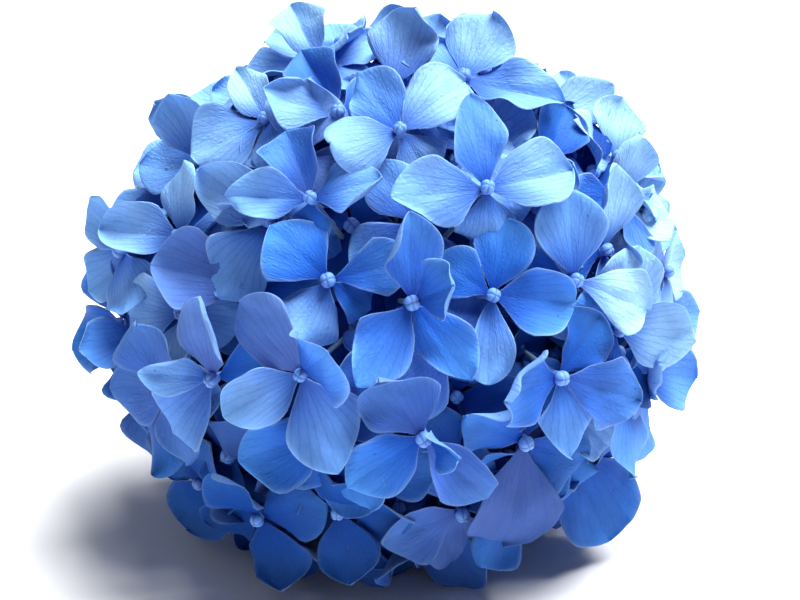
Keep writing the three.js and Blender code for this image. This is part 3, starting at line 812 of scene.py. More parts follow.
@dataclass(frozen=True)
class SepalFinish:
    """Hydrangea sepals: thin, papery and matt, dark blue at the root and paler outward.

    The dark blue at the root is partly the sepals' own colour and partly painted shade where they
    overlap at the hub. The pale and the dark colour that a sepal's tint brings in are mostly painted
    light and shade, and the pale rim is partly a painted highlight.

    The veins are sunk, and the cells between them bulge softly, so the light breaks up into a fine
    quilt. A little light comes through the sheet, and its underside is paler and greyer.
    """

    # partly the sepal's own dark blue and partly painted shade where the sepals overlap at the hub
    root_tone_and_shade: str = "#0f45ae"
    middle: str = "#2f73de"
    outer: str = "#4f97ee"
    # partly the margin's own paleness and partly a painted highlight along the edge
    pale_rim_and_highlight: str = "#a8d2fb"
    vein: str = "#1a52bb"
    # painted light: laid on sepals that face the light, more towards their tips, with a little random
    # tone
    pale_and_lit: str = "#aadaff"
    # painted shade: laid on sepals in shade and on the sunk florets, with a little random tone
    deep_and_shaded: str = "#0b3a8c"
    lavender: str = "#7388c4"
    under: str = "#7fa8de"
    speck: str = "#1c2c5c"
    rim_power: float = 14.0  # keeps the pale rim, partly the margin's own paleness and partly a painted highlight, to the last millimetre of the half width
    rim_highlight_share: float = 0.55
    net_share: float = 0.09
    under_share: float = 0.6
    cell: float = 1.3  # millimetres across a cell of the fine net, coarser than real so that it shows
    cloud: float = 9  # millimetres across a paler or darker patch
    speck_spacing: float = 7  # millimetres
    vein_depth: float = 0.35  # beside the height of a cell's bulge
    bulge: float = 0.2  # millimetres
    bulge_strength: float = 0.55
    roughness: float = 0.55
    ior: float = 1.36  # of plant tissue full of water
    gloss: float = 0.16
    translucent: float = 0.18

    def build(self) -> bpy.types.Material:
        """Builds the material."""
        material, tree = new_material("hydrangea_sepal")
        place = add_node(tree, "ShaderNodeTexCoord").outputs["Object"]
        sheet = add_node(tree, "ShaderNodeUVMap", uv_map="sheet").outputs["UV"]
        veins = self.veins(tree, sheet)
        net, dome = self.net(tree, sheet)
        colour = self.colour(tree, place, veins, net)
        sunk = add_node(tree, "ShaderNodeMath", {1: self.vein_depth}, {0: veins}, operation="MULTIPLY")
        height = add_node(
            tree, "ShaderNodeMath", links={0: dome, 1: sunk.outputs[0]}, operation="SUBTRACT"
        )
        bump = add_node(
            tree,
            "ShaderNodeBump",
            {"Strength": self.bulge_strength, "Distance": self.bulge * MM},
            {"Height": height.outputs[0]},
        ).outputs["Normal"]
        skin = add_node(
            tree,
            "ShaderNodeBsdfPrincipled",
            {"Roughness": self.roughness, "IOR": self.ior, "Specular IOR Level": self.gloss},
            {"Base Color": colour, "Normal": bump},
        )
        through = add_node(tree, "ShaderNodeBsdfTranslucent", links={"Color": colour, "Normal": bump})
        mixed = add_node(
            tree,
            "ShaderNodeMixShader",
            {0: self.translucent},
            {1: skin.outputs[0], 2: through.outputs[0]},
        )
        add_node(tree, "ShaderNodeOutputMaterial", links={"Surface": mixed.outputs[0]})
        return material

    def colour(self, tree: Tree, place: Socket, veins: Socket, net: Socket) -> Socket:
        """Lays the sepal's colours over each other, from its root's blue to the specks.

        Args:
            tree: the shader tree.
            place: the object coordinates.
            veins: 1 on a vein.
            net: 1 on a line of the fine net.

        Returns:
            The colour.
        """
        shade = add_node(tree, "ShaderNodeAttribute", attribute_name="shade", attribute_type="GEOMETRY")
        parts = add_node(tree, "ShaderNodeSeparateColor", links={"Color": shade.outputs["Color"]})
        across, along, tint_light_shade = (parts.outputs[i] for i in range(3))
        mauve = shade.outputs["Alpha"]
        lower = add_node(
            tree, "ShaderNodeAttribute", attribute_name="lower", attribute_type="GEOMETRY"
        ).outputs["Fac"]
        # the ramp's dark root is partly painted shade at the hub
        colour = add_node(
            tree,
            "ShaderNodeValToRGB",
            links={"Fac": along},
            stops=((0.08, self.root_tone_and_shade), (0.42, self.middle), (0.95, self.outer)),
        ).outputs["Color"]
        # the pale rim: partly the margin's own paleness and partly a painted highlight
        edge = add_node(
            tree, "ShaderNodeMath", {1: self.rim_power}, {0: across}, operation="POWER"
        ).outputs[0]
        edge = add_node(
            tree, "ShaderNodeMath", {1: self.rim_highlight_share}, {0: edge}, operation="MULTIPLY"
        ).outputs[0]
        # painted light: the share of the pale colour, from a tint over the middle, growing towards the
        # tip
        pale_light_share = add_node(tree, "ShaderNodeMapRange", {1: 0.5, 2: 1.0}, {0: tint_light_shade}).outputs[0]
        outward = add_node(
            tree,
            "ShaderNodeMapRange",
            {1: 0.1, 2: 0.62, 3: 0.2, 4: 1.0},
            {0: along},
            interpolation_type="SMOOTHSTEP",
        ).outputs[0]
        pale_light_share = add_node(
            tree, "ShaderNodeMath", links={0: pale_light_share, 1: outward}, operation="MULTIPLY"
        ).outputs[0]
        # painted shade: the share of the dark colour, from a tint under the middle
        deep_shade_share = add_node(tree, "ShaderNodeMapRange", {1: 0.5, 2: 0.0}, {0: tint_light_shade}).outputs[0]
        near_root = add_node(
            tree, "ShaderNodeMapRange", {1: 0.2, 2: 0.9, 3: 0.4, 4: 0.12}, {0: along}
        ).outputs[0]
        line = add_node(
            tree, "ShaderNodeMath", links={0: veins, 1: near_root}, operation="MULTIPLY"
        ).outputs[0]
        mesh = add_node(
            tree, "ShaderNodeMath", {1: self.net_share}, {0: net}, operation="MULTIPLY"
        ).outputs[0]
        under = add_node(
            tree, "ShaderNodeMath", {1: self.under_share}, {0: lower}, operation="MULTIPLY"
        ).outputs[0]
        # the pale and dark layers are mostly painted light and shade, and the rim partly a painted
        # highlight
        layers = (
            (edge, self.pale_rim_and_highlight),
            (pale_light_share, self.pale_and_lit),
            (deep_shade_share, self.deep_and_shaded),
            (mauve, self.lavender),
            (line, self.vein),
            (mesh, self.vein),
            (under, self.under),
        )
        for share, code in layers:
            colour = self.over(tree, colour, share, code)
        cloud = add_node(
            tree,
            "ShaderNodeTexNoise",
            {"Scale": 1 / (self.cloud * MM), "Detail": 3.0},
            {"Vector": place},
        ).outputs["Fac"]
        cloud = add_node(
            tree, "ShaderNodeMapRange", {1: 0.3, 2: 0.7, 3: 0.9, 4: 1.08}, {0: cloud}
        ).outputs[0]
        colour = add_node(
            tree,
            "ShaderNodeMix",
            {0: 1.0},
            {6: colour, 7: cloud},
            data_type="RGBA",
            blend_type="MULTIPLY",
        ).outputs[2]
        return self.over(tree, colour, self.specks(tree, place), self.speck)

    @staticmethod
    def over(tree: Tree, colour: Socket, share: Socket, code: str) -> Socket:
        """Lays a share of a hex colour over a colour."""
        return add_node(
            tree, "ShaderNodeMix", {7: linear(code)}, {0: share, 6: colour}, data_type="RGBA"
        ).outputs[2]

    def veins(self, tree: Tree, sheet: Socket) -> Socket:
        """Draws the main veins, which fan out from the root and waver a little.

        Args:
            tree: the shader tree.
            sheet: the sheet coordinates, with the fan along X and the length along Y.

        Returns:
            A socket that is 1 on a vein.
        """
        waver = add_node(
            tree, "ShaderNodeTexNoise", {"Scale": 5.0, "Detail": 2.0}, {"Vector": sheet}
        ).outputs["Fac"]
        waver = add_node(tree, "ShaderNodeMapRange", {3: -0.05, 4: 0.05}, {0: waver}).outputs[0]
        fan = add_node(tree, "ShaderNodeSeparateXYZ", links={0: sheet}).outputs["X"]
        fan = add_node(tree, "ShaderNodeMath", links={0: fan, 1: waver}, operation="ADD").outputs[0]
        fan = add_node(
            tree, "ShaderNodeMath", {1: VEIN_SPACING / 2}, {0: fan}, operation="PINGPONG"
        ).outputs[0]
        return add_node(
            tree,
            "ShaderNodeMapRange",
            {1: 0.0, 2: 0.022, 3: 1.0, 4: 0.0},
            {0: fan},
            interpolation_type="SMOOTHSTEP",
        ).outputs[0]

    def net(self, tree: Tree, sheet: Socket) -> tuple[Socket, Socket]:
        """Draws the fine net between the veins.

        Args:
            tree: the shader tree.
            sheet: the sheet coordinates.

        Returns:
            A socket that is 1 on the net's lines, and one that rises to 1 in the middle of a cell.
        """
        cells = SEPAL_LENGTH / self.cell
        spread = add_node(
            tree,
            "ShaderNodeVectorMath",
            {1: (cells * 0.8, cells * 0.62, 1.0)},
            {0: sheet},
            operation="MULTIPLY",
        ).outputs[0]
        bend = add_node(
            tree, "ShaderNodeTexNoise", {"Scale": 9.0, "Detail": 1.0}, {"Vector": sheet}
        ).outputs["Color"]
        spread = add_node(
            tree, "ShaderNodeVectorMath", links={0: spread, 1: bend}, operation="ADD"
        ).outputs[0]
        edge = add_node(
            tree, "ShaderNodeTexVoronoi", {"Scale": 1.0}, {"Vector": spread}, feature="DISTANCE_TO_EDGE"
        ).outputs["Distance"]
        line = add_node(
            tree,
            "ShaderNodeMapRange",
            {1: 0.0, 2: 0.16, 3: 1.0, 4: 0.0},
            {0: edge},
            interpolation_type="SMOOTHSTEP",
        ).outputs[0]
        dome = add_node(
            tree,
            "ShaderNodeMapRange",
            {1: 0.0, 2: 0.55},
            {0: edge},
            interpolation_type="SMOOTHERSTEP",
        ).outputs[0]
        return line, dome

    def specks(self, tree: Tree, place: Socket) -> Socket:
        """Draws the few tiny dark specks on the bloom.

        Args:
            tree: the shader tree.
            place: the object coordinates.

        Returns:
            A socket that is 1 on a speck.
        """
        dots = add_node(
            tree, "ShaderNodeTexVoronoi", {"Scale": 1 / (self.speck_spacing * MM)}, {"Vector": place}
        ).outputs["Distance"]
        return add_node(
            tree, "ShaderNodeMapRange", {1: 0.03, 2: 0.045, 3: 0.7, 4: 0.0}, {0: dots}
        ).outputs[0]


@dataclass(frozen=True)
class BudFinish:
    """Closed buds: smooth, waxy and paler than the sepals' roots, darker in their grooves as painted
    shade.
    """

    light: str = "#5f92de"
    # painted shade: laid in the grooves, towards the foot and at the top where the grooves meet
    groove: str = "#3565ba"
    grain: float = 0.5  # millimetres
    grain_depth: float = 0.1  # millimetres
    roughness: float = 0.6

    def build(self) -> bpy.types.Material:
        """Builds the material."""
        material, tree = new_material("hydrangea_bud")
        ridge = add_node(
            tree, "ShaderNodeAttribute", attribute_name="ridge", attribute_type="GEOMETRY"
        ).outputs["Fac"]
        colour = add_node(
            tree,
            "ShaderNodeValToRGB",
            links={"Fac": ridge},
            stops=((0.15, self.groove), (0.8, self.light)),
        ).outputs["Color"]
        place = add_node(tree, "ShaderNodeTexCoord").outputs["Object"]
        grain = add_node(
            tree,
            "ShaderNodeTexNoise",
            {"Scale": 1 / (self.grain * MM), "Detail": 2.0},
            {"Vector": place},
        ).outputs["Fac"]
        bump = add_node(
            tree,
            "ShaderNodeBump",
            {"Strength": 0.25, "Distance": self.grain_depth * MM},
            {"Height": grain},
        ).outputs["Normal"]
        skin = add_node(
            tree,
            "ShaderNodeBsdfPrincipled",
            {"Roughness": self.roughness, "Subsurface Weight": 0.1},
            {"Base Color": colour, "Normal": bump},
        )
        add_node(tree, "ShaderNodeOutputMaterial", links={"Surface": skin.outputs[0]})
        return material


@dataclass(frozen=True)
class StalkFinish:
    """Floret stalks: juicy and pale, blue where they meet the floret and greener towards the ray."""

    near_floret: str = "#5b86d6"
    near_ray: str = "#8fae86"
    roughness: float = 0.5

    def build(self) -> bpy.types.Material:
        """Builds the material."""
        material, tree = new_material("hydrangea_stalk")
        share = add_node(
            tree, "ShaderNodeAttribute", attribute_name="share", attribute_type="GEOMETRY"
        ).outputs["Fac"]
        colour = add_node(
            tree,
            "ShaderNodeValToRGB",
            links={"Fac": share},
            stops=((0.1, self.near_ray), (0.9, self.near_floret)),
        ).outputs["Color"]
        skin = add_node(
            tree, "ShaderNodeBsdfPrincipled", {"Roughness": self.roughness}, {"Base Color": colour}
        )
        add_node(tree, "ShaderNodeOutputMaterial", links={"Surface": skin.outputs[0]})
        return material


@dataclass(frozen=True)
class StemFinish:
    """Fresh green stem: smooth and semi-matt, streaked along its length, with corky pale dots."""

    green: str = "#6f8f3f"
    light: str = "#93ad5a"
    dot: str = "#b9b486"
    cut: str = "#dfe3bd"
    streak: float = 1.2  # millimetres across a streak
    dot_spacing: float = 3.2  # millimetres
    streak_depth: float = 0.2  # millimetres
    roughness: float = 0.48

    def build(self) -> bpy.types.Material:
        """Builds the material."""
        material, tree = new_material("hydrangea_stem")
        place = add_node(tree, "ShaderNodeTexCoord").outputs["Object"]
        drawn_out = add_node(
            tree, "ShaderNodeMapping", {"Scale": (1.0, 0.12, 1.0)}, {"Vector": place}
        ).outputs[0]
        streak = add_node(
            tree,
            "ShaderNodeTexNoise",
            {"Scale": 1 / (self.streak * MM), "Detail": 3.0},
            {"Vector": drawn_out},
        ).outputs["Fac"]
        colour = add_node(
            tree,
            "ShaderNodeValToRGB",
            links={"Fac": streak},
            stops=((0.35, self.green), (0.65, self.light)),
        ).outputs["Color"]
        dots = add_node(
            tree, "ShaderNodeTexVoronoi", {"Scale": 1 / (self.dot_spacing * MM)}, {"Vector": place}
        ).outputs["Distance"]
        dots = add_node(
            tree, "ShaderNodeMapRange", {1: 0.1, 2: 0.16, 3: 0.8, 4: 0.0}, {0: dots}
        ).outputs[0]
        pith = add_node(
            tree, "ShaderNodeAttribute", attribute_name="cut", attribute_type="GEOMETRY"
        ).outputs["Fac"]
        for share, code in ((dots, self.dot), (pith, self.cut)):
            colour = add_node(
                tree, "ShaderNodeMix", {7: linear(code)}, {0: share, 6: colour}, data_type="RGBA"
            ).outputs[2]
        bump = add_node(
            tree,
            "ShaderNodeBump",
            {"Strength": 0.4, "Distance": self.streak_depth * MM},
            {"Height": streak},
        ).outputs["Normal"]
        skin = add_node(
            tree,
            "ShaderNodeBsdfPrincipled",
            {"Roughness": self.roughness},
            {"Base Color": colour, "Normal": bump},
        )
        add_node(tree, "ShaderNodeOutputMaterial", links={"Surface": skin.outputs[0]})
        return material


# The florets


@dataclass
class SepalSheets:
    """Makes fine sepals: closed thin sheets, ruffled at the margin and quilted between the veins.

    Sizes are in millimetres on a sepal of common size, and angles in degrees.
    """

    thick: float = 0.34
    edge_thick: float = 0.14
    lowest: float = 0.3  # of the middle surface over the floor
    root_at: float = 0.05  # share of the length where the sheet begins
    root_to_tip: float = 0.9495  # share of the length that it covers
    tip_crowding: float = 1.7  # over 1 draws the grid's rows together towards the tip
    rim_crowding: float = 1.15  # over 1 draws its columns together towards the margins
    tint_change: float = 0.06  # of one sepal beside its plan
    longer: float = 1.03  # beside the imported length
    claw_wider: float = 1.2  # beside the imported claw
    tip_from: float = 0.45  # the share of the length from which the tip bends
    strengths: tuple[float, float] = (0.85, 1.3)  # of a sepal's own bends
    ruffle: tuple[float, float] = (1.0, 2.3)
    ruffle_waves: tuple[float, float] = (0.9, 2.0)  # along the margin
    spine_wave: float = 7
    midrib: float = 0.35
    midrib_width: float = 0.9
    quilt: float = 0.04
    crinkle: float = 0.2
    points: list = field(default_factory=list)
    faces: list = field(default_factory=list)
    shades: list = field(default_factory=list)
    fans: list = field(default_factory=list)
    lowers: list = field(default_factory=list)
    count: int = 0

    def add(
        self, sepal: Sepal, plan: SepalPlan, kind: Kind, raised: float, chance: np.random.Generator
    ) -> None:
        """Adds one sepal.

        Args:
            sepal: how it lies.
            plan: its form and colours.
            kind: how its floret was placed.
            raised: how far its root sits above the floret's own.
            chance: the draw of its own waves.
        """
        # the tint is mostly painted light and shade, with a little random tone
        change = chance.uniform(-self.tint_change, self.tint_change)
        tint_light_shade = float(np.clip(plan.tint_light_shade + change, -1, 1))
        rows, columns = kind.value
        step = np.linspace(0, 1, rows + 1)
        along = self.root_at + self.root_to_tip * (1 - (1 - step) ** self.tip_crowding)
        across = np.linspace(-1, 1, columns + 1)
        across = np.sign(across) * (1 - (1 - np.abs(across)) ** self.rim_crowding)
        s, t = np.meshgrid(along, across, indexing="ij")
        middle, over = self.middle(sepal, BENDS[plan.form], s, t, chance)
        middle = middle + raised * sepal.out
        middle[..., 2] = np.maximum(middle[..., 2], self.lowest)
        normals = self.normals(middle)
        thick = self.edge_thick + (self.thick - self.edge_thick) * (1 - np.abs(t) ** 4)
        for face in Face:
            sheet = middle + face.value * 0.5 * thick[..., None] * normals
            self.points.append(sheet.reshape(-1, 3))
        fan = self.fan(sepal, s, over)
        even = np.ones_like(s)
        shade = np.stack([np.abs(t), s, (0.5 + tint_light_shade / 2) * even, plan.mauve * even], axis=-1)
        for face in Face:
            self.shades.append(shade.reshape(-1, 4))
            self.fans.append(np.stack([fan, s], axis=-1).reshape(-1, 2))
            self.lowers.append(np.full(s.size, float(face is Face.LOWER)))
        self.faces += self.shell(rows, columns)
        self.count += 2 * s.size

    @staticmethod
    def fan(sepal: Sepal, s: np.ndarray, over: np.ndarray) -> np.ndarray:
        """Returns the coordinate that stays the same along each vein."""
        return over / (sepal.length * s**0.72)

    def middle(
        self, sepal: Sepal, bend: Bend, s: np.ndarray, t: np.ndarray, chance: np.random.Generator
    ) -> tuple[np.ndarray, np.ndarray]:
        """Bends a grid into the sepal's middle surface.

        Args:
            sepal: how it lies.
            bend: the angles of its form.
            s: shares of the length, one row for each.
            t: shares of the half width, below 0 on the far side.
            chance: the draw of its own waves.

        Returns:
            The points, and their distances from the midrib along the sheet.
        """
        strength = chance.uniform(*self.strengths)
        phases = chance.uniform(0, 2 * math.pi, 8)
        waves = chance.uniform(*self.ruffle_waves, 2)
        near = t > 0
        length = sepal.length * self.longer
        widest = np.where(near, bend.near_widest, bend.far_widest)
        widest = widest + np.where(near, *chance.uniform(-0.04, 0.04, 2))
        swell = 0.5 * sepal.width * np.sin(np.pi * s ** (np.log(0.5) / np.log(widest))) ** bend.bluntness
        claw = self.claw_wider * sepal.claw * length * s * (0.55 + 0.45 * np.minimum(s / 0.3, 1))
        half = np.minimum(swell, claw) * (1 + chance.uniform(-0.08, 0.08) * np.sign(t))
        half = half * (1 + 0.03 * np.sin(7 * s + phases[0] + 3 * near) * np.sin(np.pi * s))
        over = t * half

        grown = np.clip((s - 0.1) / 0.45, 0, 1)
        grown = grown * grown * (3 - 2 * grown)
        tip = math.radians(bend.tip) * strength
        tip_share = np.clip((s - self.tip_from) / (1 - self.tip_from), 0, 1)
        slope = sepal.opening + sepal.curl * s + tip * tip_share**1.5
        slope = slope + math.radians(self.spine_wave) * np.sin(5 * s + phases[6]) * grown
        gap = np.diff(s, axis=0, prepend=np.zeros_like(s[:1]))
        reach = np.cumsum(gap * np.cos(slope), axis=0)[..., None] * length
        rise = np.cumsum(gap * np.sin(slope), axis=0)[..., None] * length
        spine = sepal.hub + reach * sepal.ahead + rise * sepal.out
        facing = np.cos(slope)[..., None] * sepal.out - np.sin(slope)[..., None] * sepal.ahead

        arch = np.where(near, bend.near_arch, bend.far_arch)
        roll = np.where(near, bend.near_roll, bend.far_roll)
        turned = math.radians(bend.fold) * grown + np.radians(arch) * np.abs(t) * grown
        turned = turned + np.radians(roll) * np.abs(t) ** 4 * np.exp(-(((s - 0.72) / 0.25) ** 2))
        turned = strength * turned + 0.6 * np.arctan(2 * sepal.cup * np.abs(over) / sepal.width)
        flat = self.outwards(np.cos(turned), over)
        lift = self.outwards(np.sin(turned), over) * np.sign(t)

        size = sepal.length / SEPAL_LENGTH
        beat = np.where(near, waves[0], waves[1])
        shift = np.where(near, phases[1], phases[2])
        wave = np.abs(t) ** 2.5 * np.sin(2 * math.pi * beat * s + shift)
        puff = bend.wave * chance.uniform(*self.ruffle) * wave * grown
        puff = puff + self.quilt * np.cos(2 * math.pi * self.fan(sepal, s, over) / VEIN_SPACING) * grown
        puff = puff + self.crinkle * np.sin(over / 1.9 + phases[3]) * np.sin(s * 13 + phases[4]) * grown
        puff = puff + 0.6 * self.crinkle * np.sin(over / 1.1 + s * 12 + phases[5]) * grown
        puff = puff - self.midrib * np.exp(-((over / self.midrib_width) ** 2)) * np.sin(np.pi * s)

        turn = (sepal.twist * s)[..., None]
        side = np.cos(turn) * sepal.side + np.sin(turn) * facing
        up = np.cos(turn) * facing - np.sin(turn) * sepal.side
        return spine + flat[..., None] * side + (lift + size * puff)[..., None] * up, over

    @staticmethod
    def outwards(rate: np.ndarray, over: np.ndarray) -> np.ndarray:
        """Adds up a rate from the midrib out to each side.

        Args:
            rate: the change for each millimetre along the sheet.
            over: distances from the midrib along the sheet, in rising columns.

        Returns:
            The sums, which are 0 at the midrib.
        """
        middle = over.shape[1] // 2
        steps = np.diff(over, axis=1)
        between = (rate[:, 1:] + rate[:, :-1]) / 2 * steps
        total = np.concatenate([np.zeros_like(over[:, :1]), np.cumsum(between, axis=1)], axis=1)
        return total - total[:, middle : middle + 1]

    @staticmethod
    def normals(grid: np.ndarray) -> np.ndarray:
        """Returns the unit normals of a grid of points."""
        down = np.gradient(grid, axis=0)
        right = np.gradient(grid, axis=1)
        cross = np.cross(right, down)
        size = np.linalg.norm(cross, axis=-1, keepdims=True)
        return cross / np.maximum(size, 1e-9)

    def shell(self, rows: int, columns: int) -> list[list[int]]:
        """Lists the faces of one closed sheet, upper grid first.

        Args:
            rows: steps along.
            columns: steps across.

        Returns:
            Faces as point numbers that face outwards.
        """
        wide = columns + 1
        layer = (rows + 1) * wide
        start = self.count
        faces = []
        for i in range(rows):
            for j in range(columns):
                a = start + i * wide + j
                upper = [a, a + 1, a + wide + 1, a + wide]
                faces.append(upper)
                faces.append([k + layer for k in reversed(upper)])
        around = list(range(wide))
        around += [i * wide + columns for i in range(1, rows + 1)]
        around += [rows * wide + j for j in range(columns - 1, -1, -1)]
        around += [i * wide for i in range(rows - 1, 0, -1)]
        for a, b in zip(around, around[1:] + around[:1]):
            faces.append([start + b, start + a, start + a + layer, start + b + layer])
        return faces

    def build(self, name: str, material: bpy.types.Material) -> bpy.types.Object:
        """Makes one piece of all the sepals added.

        Args:
            name: the piece's name.
            material: its finish.

        Returns:
            The object.
        """
        piece = mesh_object(name, np.concatenate(self.points), self.faces)
        mesh = piece.data
        shade = mesh.attributes.new("shade", "FLOAT_COLOR", "POINT")
        shade.data.foreach_set("color", np.concatenate(self.shades).ravel())
        lower = mesh.attributes.new("lower", "FLOAT", "POINT")
        lower.data.foreach_set("value", np.concatenate(self.lowers))
        fans = np.concatenate(self.fans)
        corners = np.empty(len(mesh.loops), dtype=np.int32)
        mesh.loops.foreach_get("vertex_index", corners)
        sheet = mesh.uv_layers.new(name="sheet")
        sheet.data.foreach_set("uv", fans[corners].ravel())
        mesh.materials.append(material)
        return piece


@dataclass
class Buds:
    """The closed buds: one small ball of four closed petals, set by a node tree on every floret."""

    radius: float = 2.15
    height: float = 3.9
    foot: float = 0.2
    groove: float = 0.3
    sides: int = 24
    rings: int = 12

    def pattern(self) -> bpy.types.Object:
        """Makes the one bud that the tree copies, with its foot at the origin.

        Returns:
            The object, which isn't in the scene.
        """
        points, ridges, faces = [(0.0, 0.0, self.foot)], [0.2], []
        for i in range(1, self.rings):
            polar = math.pi * i / self.rings
            for k in range(self.sides):
                turn = 2 * math.pi * k / self.sides
                lobe = abs(math.cos(2 * turn)) ** 0.5
                sunk = self.groove * (1 - lobe) * math.sin(polar / 2) ** 2
                reach = self.radius * math.sin(polar) ** 0.85 * (1 - 0.5 * sunk)
                rise = self.foot + self.height * (1 - math.cos(polar)) / 2 * (1 - 0.35 * sunk)
                points.append((reach * math.cos(turn), reach * math.sin(turn), rise))
                # low in the grooves, towards the foot and at the top, where the buds' finish lays
                # painted shade
                ridges.append(0.2 + 0.8 * lobe * math.sin(polar / 2))
        points.append((0.0, 0.0, self.foot + self.height * 0.93))
        ridges.append(0.1)
        last = len(points) - 1
        for k in range(self.sides):
            n = (k + 1) % self.sides
            faces.append([0, 1 + n, 1 + k])
            top = 1 + (self.rings - 2) * self.sides
            faces.append([top + k, top + n, last])
            for i in range(self.rings - 2):
                a = 1 + i * self.sides
                faces.append([a + k, a + n, a + self.sides + n, a + self.sides + k])
        mesh = bpy.data.meshes.new("bud_pattern")
        mesh.from_pydata((np.array(points) * MM).tolist(), [], faces)
        mesh.update()
        mesh.shade_smooth()
        mesh.attributes.new("ridge", "FLOAT", "POINT").data.foreach_set("value", ridges)
        return bpy.data.objects.new("bud_pattern", mesh)

    def tree(self, pattern: bpy.types.Object, material: bpy.types.Material) -> Tree:
        """Builds the tree that sets a bud on each point.

        Args:
            pattern: the bud that it copies.
            material: the buds' finish.

        Returns:
            The tree, with inputs for the smallest and largest size and the seed.
        """
        tree = bpy.data.node_groups.new("Buds", "GeometryNodeTree")
        face = tree.interface
        face.new_socket("Geometry", in_out="INPUT", socket_type="NodeSocketGeometry")
        face.new_socket("Smallest", in_out="INPUT", socket_type="NodeSocketFloat")
        face.new_socket("Largest", in_out="INPUT", socket_type="NodeSocketFloat")
        face.new_socket("Seed", in_out="INPUT", socket_type="NodeSocketInt")
        face.new_socket("Geometry", in_out="OUTPUT", socket_type="NodeSocketGeometry")
        given = add_node(tree, "NodeGroupInput").outputs
        bud = add_node(tree, "GeometryNodeObjectInfo", {"Object": pattern}).outputs["Geometry"]
        out = add_node(
            tree, "GeometryNodeInputNamedAttribute", {"Name": "out"}, data_type="FLOAT_VECTOR"
        )
        lean = add_node(
            tree, "FunctionNodeAlignRotationToVector", links={"Vector": out.outputs[0]}, axis="Z"
        )
        turn = add_node(
            tree,
            "FunctionNodeRandomValue",
            {"Min": 0.0, "Max": 1.57},
            {"Seed": given["Seed"]},
            data_type="FLOAT",
        )
        spin = add_node(
            tree, "FunctionNodeAxisAngleToRotation", {"Axis": (0, 0, 1)}, {"Angle": turn.outputs[1]}
        )
        both = add_node(
            tree,
            "FunctionNodeRotateRotation",
            links={"Rotation": lean.outputs[0], "Rotate By": spin.outputs[0]},
            rotation_space="LOCAL",
        )
        size = add_node(
            tree,
            "FunctionNodeRandomValue",
            links={"Min": given["Smallest"], "Max": given["Largest"], "Seed": given["Seed"]},
            data_type="FLOAT",
        )
        placed = add_node(
            tree,
            "GeometryNodeInstanceOnPoints",
            links={
                "Points": given["Geometry"],
                "Instance": bud,
                "Rotation": both.outputs[0],
                "Scale": size.outputs[1],
            },
        )
        real = add_node(tree, "GeometryNodeRealizeInstances", links={0: placed.outputs[0]})
        dressed = add_node(
            tree, "GeometryNodeSetMaterial", {"Material": material}, {"Geometry": real.outputs[0]}
        )
        add_node(tree, "NodeGroupOutput", links={0: dressed.outputs[0]})
        return tree


@dataclass
class TubeTree:
    """A node tree that turns lines of points with radii into smooth closed tubes."""

    name: str
    material: bpy.types.Material

    def __post_init__(self) -> None:
        """Builds the tree, with inputs for the sides and the steps along each tube."""
        tree = bpy.data.node_groups.new(self.name, "GeometryNodeTree")
        face = tree.interface
        face.new_socket("Geometry", in_out="INPUT", socket_type="NodeSocketGeometry")
        face.new_socket("Sides", in_out="INPUT", socket_type="NodeSocketInt")
        face.new_socket("Steps", in_out="INPUT", socket_type="NodeSocketInt")
        face.new_socket("Geometry", in_out="OUTPUT", socket_type="NodeSocketGeometry")
        given = add_node(tree, "NodeGroupInput").outputs
        radius = add_node(
            tree, "GeometryNodeInputNamedAttribute", {"Name": "radius_m"}, data_type="FLOAT"
        )
        line = add_node(tree, "GeometryNodeMeshToCurve", links={"Mesh": given["Geometry"]})
        smooth = add_node(
            tree,
            "GeometryNodeCurveSplineType",
            links={"Curve": line.outputs[0]},
            spline_type="CATMULL_ROM",
        )
        sized = add_node(
            tree,
            "GeometryNodeSetCurveRadius",
            links={"Curve": smooth.outputs[0], "Radius": radius.outputs[0]},
        )
        even = add_node(
            tree, "GeometryNodeResampleCurve", links={"Curve": sized.outputs[0], "Count": given["Steps"]}
        )
        width = add_node(tree, "GeometryNodeInputRadius")
        ring = add_node(
            tree, "GeometryNodeCurvePrimitiveCircle", {"Radius": 1.0}, {"Resolution": given["Sides"]}
        )
        tube = add_node(
            tree,
            "GeometryNodeCurveToMesh",
            {"Fill Caps": True},
            {"Curve": even.outputs[0], "Profile Curve": ring.outputs[0], "Scale": width.outputs[0]},
        )
        shaded = add_node(
            tree, "GeometryNodeSetShadeSmooth", {"Shade Smooth": True}, {"Geometry": tube.outputs[0]}
        )
        real = add_node(tree, "GeometryNodeRealizeInstances", links={0: shaded.outputs[0]})
        dressed = add_node(
            tree, "GeometryNodeSetMaterial", {"Material": self.material}, {"Geometry": real.outputs[0]}
        )
        add_node(tree, "NodeGroupOutput", links={0: dressed.outputs[0]})
        self.tree = tree

    def run(self, name: str, lines: list, sides: int, steps: int) -> bpy.types.Object:
        """Makes one piece of tubes.

        Args:
            name: the piece's name.
            lines: each line as its points in millimetres and their radii.
            sides: sides of a tube.
            steps: points along a tube.

        Returns:
            The plain mesh object.
        """
        points = np.concatenate([np.array(path) for path, _ in lines])
        radii = np.concatenate([np.array(radius) for _, radius in lines])
        edges, first = [], 0
        for path, _ in lines:
            edges += [(first + i, first + i + 1) for i in range(len(path) - 1)]
            first += len(path)
        shares = np.concatenate([np.linspace(0, 1, len(path)) for path, _ in lines])
        mesh = bpy.data.meshes.new(name)
        mesh.from_pydata((points * MM).tolist(), edges, [])
        mesh.attributes.new("radius_m", "FLOAT", "POINT").data.foreach_set("value", radii * MM)
        mesh.attributes.new("share", "FLOAT", "POINT").data.foreach_set("value", shares)
        return run_tree(name, mesh, self.tree, {"Sides": sides, "Steps": steps})


